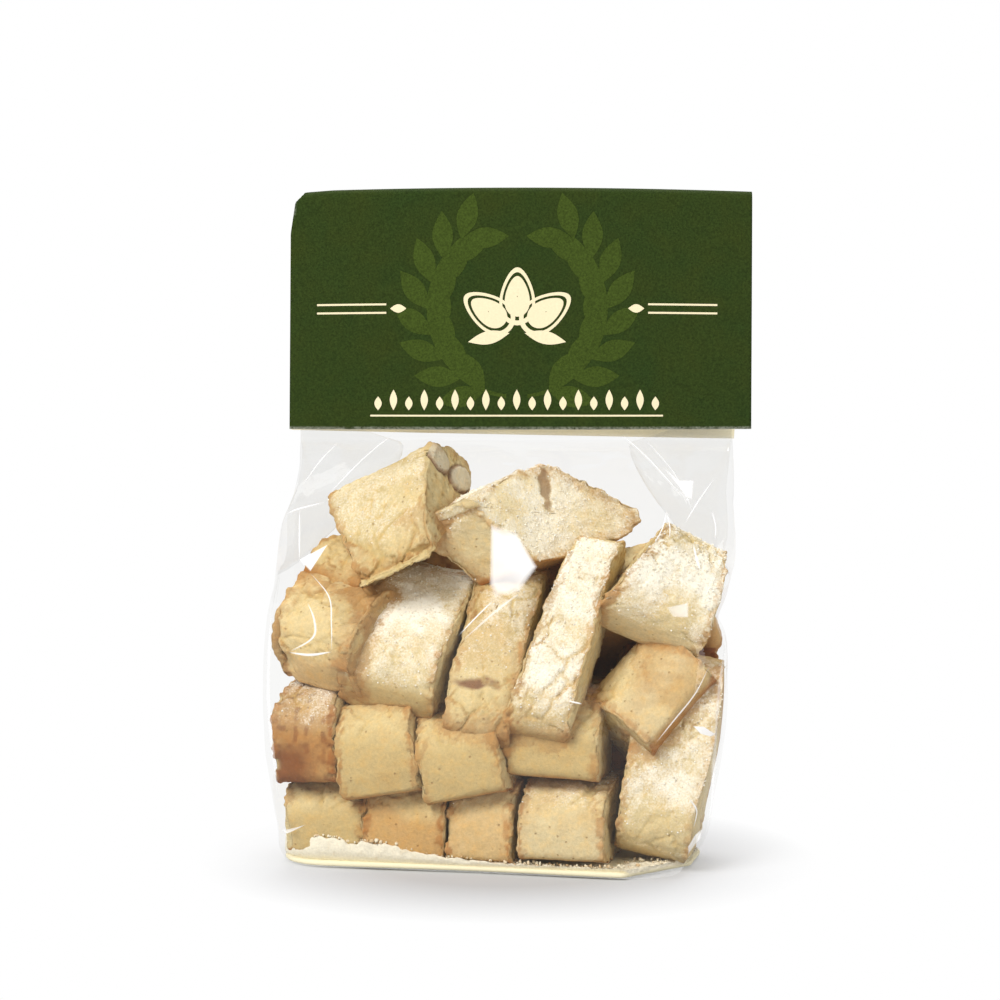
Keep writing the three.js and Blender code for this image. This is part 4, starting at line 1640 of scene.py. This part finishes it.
@dataclass
class CrumbBank:
    """The bank of fine crumb dust along the foot of the bag, deepest at the front left, and loose crumbs."""

    bench: Bench
    board: BaseBoard
    depth: float = 11.0
    heights: Pairs = ((-64, 5), (-54, 6.4), (-38, 5.6), (-24, 3.4), (-10, 1.9), (30, 1.3), (52, 1))
    wall_rows: int = 9
    slope_rows: int = 24
    columns: int = 640
    crumb_count: int = 1300
    crumb_sizes: Pair = (0.35, 1.5)
    loose_margin: float = 2.2
    film_margins: Pair = (0.75, 0.8)
    sunk: float = 0.4
    roughness: float = 0.40
    seed: int = 9

    def height(self, x: Array, y: Array, inward: Array) -> Array:
        """Height above the board: the bank's own height times a falling slope, with lumps.

        Args:
            x: places across.
            y: places in depth.
            inward: 0 at the film and 1 at the bank's inner foot.

        Returns:
            The height.
        """
        spot = np.stack([x, y, np.zeros_like(x)], axis=-1)
        tall = through(self.heights, x) * np.where(y < 0.0, 1.0, 0.45)
        lumps = 1.0 + 0.25 * layered_noise(spot, 9.0, 401) + 0.22 * layered_noise(spot, 2.6, 411)
        fine = 0.30 * value_noise(spot, 1.1, 421) * (1.0 - inward)
        return np.maximum(tall * lumps * (1.0 - inward) ** 0.7 + fine, 0.0)

    def build(self) -> Object:
        """Builds the bank as a closed ring: a wall against the film, a lumpy slope and a flat foot.

        Returns:
            The bank's object.
        """
        margin = self.board.margin
        outer, inner = (
            even_ring(self.board.outline(reach)[0], self.columns) for reach in (margin, margin + self.depth)
        )
        inward = np.concatenate([np.zeros(self.wall_rows), np.linspace(0.0, 1.0, self.slope_rows + 1)[1:]])
        rise = np.concatenate([np.linspace(0.0, 1.0, self.wall_rows), np.ones(self.slope_rows)])
        flat = outer[None] + inward[:, None, None] * (inner - outer)[None]
        share = np.broadcast_to(inward[:, None], flat.shape[:2])
        tall = self.height(flat[..., 0], flat[..., 1], share) * rise[:, None]
        points = np.concatenate([flat, (self.board.high - self.sunk + tall)[..., None]], axis=-1)
        rough = self.roughness * layered_noise(points, 1.5, 441, layers=2) * smoothstep(tall, 0.0, 0.6)
        points = points - grid_normals(points) * rough[..., None]
        points = self.bench.form.hold_inside(points.reshape(-1, 3), self.film_margins[0])
        rows = len(inward)
        first, last = np.arange(self.columns), np.arange(self.columns) + (rows - 1) * self.columns
        foot = np.stack([np.roll(first, -1), first, last, np.roll(last, -1)], axis=-1)
        shade = 0.6 * smoothstep(layered_noise(points, 1.4, 431), 0.15, 0.75)
        faces = [grid_faces(rows, self.columns, wrap=True), foot]
        obj = self.bench.mesh("crumb_bank", points, faces, [self.bench.finishes.dust], {"shade": shade})
        return obj

    def build_loose(self) -> Object:
        """Scatters single crumbs over the bank: small spheres of few faces, made uneven.

        Returns:
            The crumbs' object.
        """
        draw, count = np.random.default_rng(self.seed), self.crumb_count
        outer, inner = (self.board.outline(self.loose_margin + reach)[0] for reach in (0.0, self.depth))
        share = draw.random(count) ** 1.6
        favour = np.where(outer[:, 1] < 0.0, 1.0, 0.35) * (1.0 + 1.5 * smoothstep(outer[:, 0], 0.0, -45.0))
        spot = draw.choice(len(outer), count, p=favour / favour.sum())
        near_front = outer[spot, 1] < 0.0
        flat = outer[spot] + share[:, None] * (inner - outer)[spot]
        low, high = self.crumb_sizes
        size = low + (high - low) * draw.random(count) ** 3.5 * np.where(near_front, 1.0, 0.6)
        rise = self.height(flat[:, 0], flat[:, 1], share) + self.board.high - 0.2 + 0.25 * size
        centres = np.column_stack([flat, rise])
        turn = np.linspace(0.0, 2.0 * math.pi, 7, endpoint=False)
        tilt = np.linspace(-1.1, 1.1, 4)[:, None]
        level, rise_share = np.cos(tilt), np.sin(tilt) + 0.0 * turn
        ball = np.stack([level * np.cos(turn), level * np.sin(turn), rise_share], axis=-1)
        ball = np.concatenate([ball.reshape(-1, 3), [[0.0, 0.0, -1.0]], [[0.0, 0.0, 1.0]]])
        number = np.arange(count)[:, None, None]
        uneven = 1.0 + 0.45 * value_noise(ball[None] + 3.0 * number, 0.8, 441)
        squash = draw.uniform(0.4, 1.0, (count, 1, 3))
        points = centres[:, None] + 0.5 * size[:, None, None] * squash * uneven[..., None] * ball[None]
        points = self.bench.form.hold_inside(points.reshape(-1, 3), self.film_margins[1])
        each = len(ball)
        quads, *ends = closed_faces(4, 7)
        blocks = quads, np.concatenate(ends)
        faces = [(number * each + block[None]).reshape(-1, block.shape[1]) for block in blocks]
        shade = np.repeat(draw.random(count) ** 2, each)
        obj = self.bench.mesh("loose_crumbs", points, faces, [self.bench.finishes.crumbs], {"shade": shade})
        return obj


# ---- The header card and its print ----


class Panel(Enum):
    """The header's two printed panels."""

    FRONT = "front"
    BACK = "back"


@dataclass
class HeaderCard:
    """The folded card: one profile up the back, over the fold and down the front."""

    bench: Bench
    thickness: float = 0.5
    back_drop: Pair = (0.9, 3.2)
    fold_arch: float = 1.1
    left_lean: float = 0.6
    back_askew: float = 4.0
    dent_inward: float = 1.5
    dent_downward: float = 0.4
    dent_reach: float = 11.0
    corner_cut: float = 2.4
    ripple: float = 0.12
    columns: int = 160
    panel_rows: int = 70
    fold_rows: int = 18

    def profile(self) -> dict[str, Array]:
        """The card seen from its side, up the back panel, over the fold and down the front one.

        Returns:
            Arrays y, z, the outward normal's y and z, and how much a step is lower back panel.
        """
        form = self.bench.form
        half = form.panel_gap_top / 2 + self.thickness
        fold_base = form.card_top - half
        rise = np.linspace(form.card_bottom, fold_base, self.panel_rows, endpoint=False)
        turn = np.linspace(0.0, math.pi, self.fold_rows)
        outer = form.half_panel_gap(rise) + self.thickness
        up_share = (rise - form.card_bottom) / (fold_base - form.card_bottom)
        zero, one = np.zeros_like(rise), np.ones_like(rise)
        return {
            "y": np.concatenate([outer, half * np.cos(turn), -outer[::-1]]),
            "z": np.concatenate([rise, fold_base + half * np.sin(turn), rise[::-1]]),
            "ny": np.concatenate([one, np.cos(turn), -one]),
            "nz": np.concatenate([zero, np.sin(turn), zero]),
            "back": np.concatenate([1.0 - up_share, 0.0 * turn, zero]),
        }

    def place(self, from_middle: Array, y: Array, z: Array, back: Array) -> Array:
        """Puts flat card points where the bowed, arched and dented card has them.

        Args:
            from_middle: distance from the card's middle.
            y: depth of each point before the bow.
            z: height of each point before the arch.
            back: how much of each point is lower back panel.

        Returns:
            Places, with a last axis of 3.
        """
        form = self.bench.form
        across = 2.0 * from_middle / form.card_width
        up = (z - form.card_bottom) / (form.card_top - form.card_bottom)
        arch = -self.fold_arch * up * across**2
        left_drop, right_drop = self.back_drop
        drop = back * (left_drop + (right_drop - left_drop) * (across + 1.0) / 2.0)
        along = np.clip(1.0 - (from_middle + form.card_width / 2) / self.dent_reach, 0.0, 1.0)
        down = np.clip(1.0 - (form.card_top - z) / self.dent_reach, 0.0, 1.0)
        knock = along * down
        askew = self.back_askew * back * smoothstep(across, 0.3, 1.0)
        over = self.corner_cut - (from_middle + form.card_width / 2) - (form.card_top - z)
        cut = np.maximum(over, 0.0) / 2.0
        spot = np.stack([from_middle, 0.0 * from_middle, 0.7 * (z + 0.0 * from_middle)], axis=-1)
        return np.stack(
            [
                form.card_centre_x + from_middle + self.dent_inward * knock + cut - askew
                + self.left_lean * up * (1.0 - across) / 2.0,
                y - form.bow(from_middle) + self.ripple * value_noise(spot, 22.0, 301),
                z + arch - drop - self.dent_downward * knock - cut,
            ],
            axis=-1,
        )

    def on_panel(self, panel: Panel, u: Array, v: Array, lift: float) -> Array:
        """Places on one of the printed panels.

        Args:
            panel: which panel.
            u: distance from the card's middle, to the right as the panel is looked at.
            v: height above the panel's lower edge.
            lift: distance above the card's face.

        Returns:
            Places, with a last axis of 3.
        """
        z = self.bench.form.card_bottom + v
        out = self.bench.form.half_panel_gap(z) + self.thickness + lift
        if panel is Panel.FRONT:
            return self.place(u, -out, z, np.zeros_like(u))
        return self.place(-u, out, z, 1.0 - v / (self.bench.form.card_top - self.bench.form.card_bottom))

    def build(self) -> Object:
        """Builds the folded card, green outside and cream inside and at its edges.

        Returns:
            The card's object.
        """
        side = self.profile()
        across = np.linspace(-0.5, 0.5, self.columns)[:, None] * self.bench.form.card_width
        steps = len(side["y"])
        rings = []
        for depth in (0.0, self.thickness):
            y = side["y"] - side["ny"] * depth
            z = side["z"] - side["nz"] * depth
            flat = [np.broadcast_to(values, (self.columns, steps)) for values in (y, z, side["back"])]
            rings.append(self.place(np.broadcast_to(across, (self.columns, steps)), *flat))
        points = np.concatenate([rings[0], rings[1][:, ::-1]], axis=1)
        around = points.shape[1]
        quads = grid_faces(self.columns, around, wrap=True)
        inner = around - 1 - np.arange(steps - 1)
        outer = np.arange(steps - 1)
        first = np.stack([outer, inner, inner - 1, outer + 1], axis=-1)
        last = first[:, ::-1] + (self.columns - 1) * around
        column = np.tile(np.arange(around), self.columns - 1)
        bare = (column >= steps - 1).astype(int)
        materials = np.concatenate([bare, np.ones(2 * (steps - 1), int)])
        finishes = self.bench.finishes
        obj = self.bench.mesh(
            "header_card_body",
            points.reshape(-1, 3),
            [quads, first, last],
            [finishes.card_green, finishes.card_cream],
            numbers={"rub": self.rub(points, side["z"]).ravel()},
            face_material=materials,
        )
        return obj

    def rub(self, points: Array, level: Array) -> Array:
        """Where the ink is rubbed: along the lower edge, and in a wedge below the knocked corner.

        Args:
            points: the card's points.
            level: heights along the card's profile.

        Returns:
            How far each point is rubbed, from 0 to 1.
        """
        form = self.bench.form
        x = points[..., 0] - form.card_centre_x
        from_side = form.card_width / 2 - np.abs(x)
        from_top = form.card_top - points[..., 2]
        from_foot = np.concatenate([level, level[::-1]])[None] - form.card_bottom
        ragged = 0.5 * value_noise(points, 3.5, 311)
        foot = smoothstep(from_foot + ragged, 0.45, 0.1)
        scuff = smoothstep(from_side, 1.9, 0.5) * (x < 0.0)
        scuff = scuff * smoothstep(from_top, 8.0, 5.5) * smoothstep(from_top, 1.5, 3.2)
        return np.clip(foot + 1.6 * scuff, 0.0, 1.0)


@dataclass
class PrintPlate:
    """One ink: flat shapes laid on a panel, each a small grid of points."""

    card: HeaderCard
    panel: Panel
    lift: float
    lift_step: float = 0.001
    points: list[Array] = field(default_factory=list)
    faces: list[Array] = field(default_factory=list)
    count: int = 0

    def add_grid(self, u: Array, v: Array) -> None:
        """Adds one shape, given as a grid of places on the panel.

        Args:
            u: distance from the panel's middle, shape (rows, columns).
            v: height above its lower edge, of the same shape.
        """
        placed = self.card.on_panel(self.panel, u, v, self.lift + self.lift_step * len(self.points))
        rows, columns = u.shape
        self.points.append(placed.reshape(-1, 3))
        self.faces.append(grid_faces(rows, columns, wrap=False, start=self.count))
        self.count += rows * columns

    def add_turned(self, foot: Pair, angle: float, along: Array, out: Array) -> None:
        """Adds a shape drawn along an axis from its foot, at an angle from the right, and out to its left."""
        u, v = turned(along, out, -angle)
        self.add_grid(foot[0] + u, foot[1] + v)

    def leaf(self, foot: Pair, angle: float, length: float, width: float) -> None:
        """A pointed leaf: half width = width / 2 * sin(pi * t) along its length.

        Args:
            foot: where the leaf starts.
            angle: its direction in radians.
            length: its length.
            width: its greatest width.
        """
        t = np.linspace(0.0, 1.0, 17)[:, None]
        side = np.linspace(-1.0, 1.0, 5)[None, :]
        self.add_turned(foot, angle, t * length * np.ones_like(side), width / 2 * np.sin(math.pi * t) * side)

    def arc(self, centre: Pair, radius: float, start: float, end: float, width: float) -> None:
        """A round stroke.

        Args:
            centre: its centre.
            radius: radius of its middle line.
            start: angle where it starts.
            end: angle where it ends.
            width: width of the stroke.
        """
        steps = max(8, int(abs(end - start) * radius / 1.2))
        angle = np.linspace(start, end, steps)[:, None]
        reach = radius + np.array([[-0.5, 0.5]]) * width
        self.add_grid(centre[0] + reach * np.cos(angle), centre[1] + reach * np.sin(angle))

    def bar(self, u0: float, u1: float, v: float, width: float) -> None:
        """A level stroke.

        Args:
            u0: its left end.
            u1: its right end.
            v: height of its middle line.
            width: width of the stroke.
        """
        along = np.linspace(u0, u1, max(2, int(abs(u1 - u0) / 3)))[:, None]
        out = np.array([[-0.5, 0.5]]) * width
        self.add_grid(along + 0.0 * out, v + out + 0.0 * along)

    def almond(self, foot: Pair, angle: float, length: float, width: float, stroke: float) -> None:
        """An almond: an egg-shaped outline with a smaller egg inside, both bands of one egg.

        Args:
            foot: where the almond starts.
            angle: its direction in radians.
            length: its length.
            width: its greatest width.
            stroke: width of the outline.
        """
        turn = np.linspace(0.0, 2.0 * math.pi, 41)[:, None]
        for outer, inner in ((1.0, 1.0 - 2 * stroke / width), (1.0 - 3.6 * stroke / width, 0.02)):
            size = np.linspace(inner, outer, 3)[None, :]
            along = length / 2 * (1.0 - size * np.cos(turn))
            out = width / 2 * size * np.sin(turn) * (1.0 + 0.28 * np.cos(turn))
            self.add_turned(foot, angle, along, out)

    def build(self, slot: str, material: Material) -> Object:
        """Joins the shapes into one object.

        Args:
            slot: the ink's name, which with the panel names the object.
            material: the ink's finish.

        Returns:
            The object.
        """
        points = np.concatenate(self.points)
        name, numbers = f"{slot}_{self.panel.value}", {"rub": np.zeros(len(points))}
        obj = self.card.bench.mesh(name, points, self.faces, [material], numbers)
        return obj


@dataclass
class HeaderDesign:
    """A plain orchard design: two leafy sprigs, a fan of almonds and small rules beside it."""

    card: HeaderCard
    centre: Pair = (-1.0, 31.5)
    wreath_radius: float = 23.0
    leaf_length: float = 12.5
    leaf_width: float = 5.4
    leaf_pairs: int = 8

    def sprigs(self, plate: PrintPlate) -> None:
        """Two branches that rise left and right of the middle, with leaves on both sides.

        Args:
            plate: what they are printed with.
        """
        u, v = self.centre
        for way in (-1.0, 1.0):
            start, end = -math.pi / 2 + way * 0.12, -math.pi / 2 + way * 2.45
            plate.arc(self.centre, self.wreath_radius, start, end, 1.0)
            for angle in np.linspace(start + way * 0.25, end, self.leaf_pairs):
                foot = u + self.wreath_radius * math.cos(angle), v + self.wreath_radius * math.sin(angle)
                onward = angle + way * math.pi / 2
                for lean in (-0.62, 0.62):
                    plate.leaf(foot, onward + lean, self.leaf_length, self.leaf_width)

    def motifs(self, plate: PrintPlate) -> None:
        """The cream fan of almonds with its leaves, and the rules at both sides.

        Args:
            plate: what they are printed with.
        """
        u, v = self.centre
        for angle in np.radians([90, 146, 34]):
            foot = u + 1.5 * math.cos(angle), v - 6.0 + 1.5 * math.sin(angle)
            plate.almond(foot, angle, 15.0, 9.0, 0.75)
        for angle in np.radians([192, -12]):
            plate.leaf((u + 2.0 * math.cos(angle), v - 6.5), angle, 11.0, 3.4)
        for way in (-1.0, 1.0):
            inner, outer = u + way * 34.0, u + way * 52.0
            plate.bar(inner, outer, v + 1.1, 0.5)
            plate.bar(inner, outer, v - 1.1, 0.5)
            plate.leaf((inner - way * 5.2, v), 0.0 if way > 0 else math.pi, 4.2, 2.2)

    def frieze(self, plate: PrintPlate, v: float) -> None:
        """A row of standing leaves, large and small in turn, above a rule.

        Args:
            plate: what they are printed with.
            v: height of the leaves' feet on the panel.
        """
        u = self.centre[0]
        for index in range(-9, 10):
            tall = 5.4 if index % 2 == 0 else 3.6
            plate.leaf((u + index * 4.0, v), math.pi / 2, tall, 1.9)
        plate.bar(u - 38.0, u + 38.0, v - 1.4, 0.45)

    def build(self) -> list[Object]:
        """Builds both inks on both panels.

        Returns:
            The print's objects.
        """
        finishes, made = self.card.bench.finishes, []
        for panel in Panel:
            olive = PrintPlate(self.card, panel, 0.05)
            self.sprigs(olive)
            made.append(olive.build("print_olive", finishes.print_olive))
            cream = PrintPlate(self.card, panel, 0.09)
            self.motifs(cream)
            if panel is Panel.FRONT:
                self.frieze(cream, 5.0)
            made.append(cream.build("print_cream", finishes.print_cream))
        return made


# ---- Studio ----


@dataclass(frozen=True)
class Studio:
    """A white floor, a large soft key light from the upper left, fills and a long lens."""

    pack: PackFrame
    distance: float = 1.0
    frame_width: float = 0.2615
    elevation: float = math.radians(6.0)
    aim: Triple = (-3.0, 0.0, 95.0)
    sensor: float = 36.0
    lit_middle: Triple = (0.0, 0.0, 0.08)
    lit_radius: Pair = (0.037, 0.082)
    room_light: float = 0.36

    def build(self) -> None:
        """Sets up the floor, the lights, the world and the camera."""
        self.floor()
        self.lights()
        self.world()
        self.camera()
        scene = bpy.context.scene
        scene.view_settings.view_transform = "Standard"
        scene.view_settings.look = "None"

    def floor(self) -> None:
        """A white floor that turns evenly bright away from the pack, so that it has no far edge."""
        graph = Graph("studio_white")
        matte = graph.node("BsdfDiffuse", {"Color": (0.53, 0.535, 0.55)}).outputs[0]
        bright = graph.node("Emission", {"Color": (1.0, 1.0, 1.0), "Strength": 1.0}).outputs[0]
        reach = graph.node("VectorMath", {0: graph.place()}, operation="LENGTH").outputs["Value"]
        share = graph.ramp(reach, *self.lit_radius)
        material = graph.finish(graph.node("MixShader", {0: share, 1: matte, 2: bright}).outputs[0])
        side = np.linspace(-3.0, 3.0, 13)
        across, run = np.meshgrid(side, side)
        grid = np.stack([across, run, np.zeros_like(run)], axis=-1)
        faces = grid_faces(len(side), len(side), wrap=False)
        floor = build_object("studio_floor", grid.reshape(-1, 3), [faces], [material])

    def area_light(self, name: str, place: Triple, size: Pair, watts: float, mirrored: bool = False) -> None:
        """Adds one rectangular light that points at the pack.

        Args:
            name: its name.
            place: where it stands, in metres.
            size: its width and height.
            watts: its power.
            mirrored: whether glossy surfaces show it.
        """
        data = bpy.data.lights.new(name, "AREA")
        data.shape = "RECTANGLE"
        data.size, data.size_y = size
        data.energy = watts
        light = bpy.data.objects.new(name, data)
        light.location = place
        light.visible_glossy = mirrored
        aim = Vector(self.lit_middle) - Vector(place)
        light.rotation_euler = aim.to_track_quat("-Z", "Y").to_euler()
        bpy.context.scene.collection.objects.link(light)

    def lights(self) -> None:
        """The key light, a small one beside it that glossy surfaces don't show, the fill and the light from
        above and behind.
        """
        self.area_light("key_light", (-0.75, -1.0, 1.15), (0.7, 0.7), 27.0)
        self.area_light("spark_light", (-0.45, -1.2, 0.8), (0.12, 0.12), 1.1)
        self.area_light("fill_light", (1.1, -0.9, 0.55), (0.6, 0.9), 4.6, mirrored=True)
        self.area_light("back_light", (0.15, 0.6, 1.2), (0.9, 0.6), 15.0, mirrored=True)

    def world(self) -> None:
        """A white room: full white where it is looked at, dimmer as a source of light."""
        world = bpy.data.worlds.new("studio_world")
        world.use_nodes = True
        tree = world.node_tree
        background = tree.nodes["Background"]
        background.inputs["Color"].default_value = (1.0, 1.0, 1.0, 1.0)
        path = tree.nodes.new("ShaderNodeLightPath")
        level = tree.nodes.new("ShaderNodeMapRange")
        level.inputs["To Min"].default_value = self.room_light
        level.inputs["To Max"].default_value = 1.0
        tree.links.new(path.outputs["Is Camera Ray"], level.inputs["Value"])
        tree.links.new(level.outputs["Result"], background.inputs["Strength"])
        bpy.context.scene.world = world

    def camera(self) -> None:
        """A long lens in front and a little above, aimed at the pack's middle."""
        data = bpy.data.cameras.new("studio_camera")
        data.sensor_width = self.sensor
        data.lens = self.sensor * self.distance / self.frame_width
        data.clip_end = 20.0
        camera = bpy.data.objects.new("studio_camera", data)
        away = np.array([0.0, -math.cos(self.elevation), math.sin(self.elevation)])
        camera.location = tuple(self.pack.to_metres(np.array(self.aim)) + self.distance * away)
        camera.rotation_euler = (math.pi / 2 - self.elevation, 0.0, 0.0)
        bpy.context.scene.collection.objects.link(camera)
        bpy.context.scene.camera = camera


# ---- The whole pack ----


def main() -> None:
    """Builds the pack piece by piece and reports each one."""
    logging.basicConfig(level=logging.INFO, format="%(name)s: %(message)s")
    form = BagForm()
    bench = Bench(form, PackFrame.from_card(form.card_centre_x, -form.card_bow / 2), Finishes())

    wrap = Film(bench)
    film = wrap.build()
    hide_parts("bag")
    card = HeaderCard(bench)
    header = card.build()
    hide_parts("header_card")
    # The film's creased lines and the painted glints of the lamps on it.
    creases = FilmCreasesAndGlints(wrap)
    pieces = [film, header, creases.build_lines(), creases.build_painted_glints()]
    pieces += HeaderDesign(card).build()
    biscuits = slices()
    laid = [piece.lay(form) for piece in biscuits]
    # Painted shade in the gaps between the slices.
    paint_gap_shade(laid)
    pieces += [piece.build(placed, bench) for piece, placed in zip(biscuits, laid)]
    pieces.append(SugarGrains(bench).build(laid))
    board = BaseBoard(bench)
    bank = CrumbBank(bench, board)
    pieces += [board.build(), bank.build(), bank.build_loose()]
    for piece in pieces:
        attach(piece, ROOT)
        log.info("%s: %d faces", piece.name, len(piece.data.polygons))

    Studio(bench.pack).build()


if __name__ == "__main__":
    main()
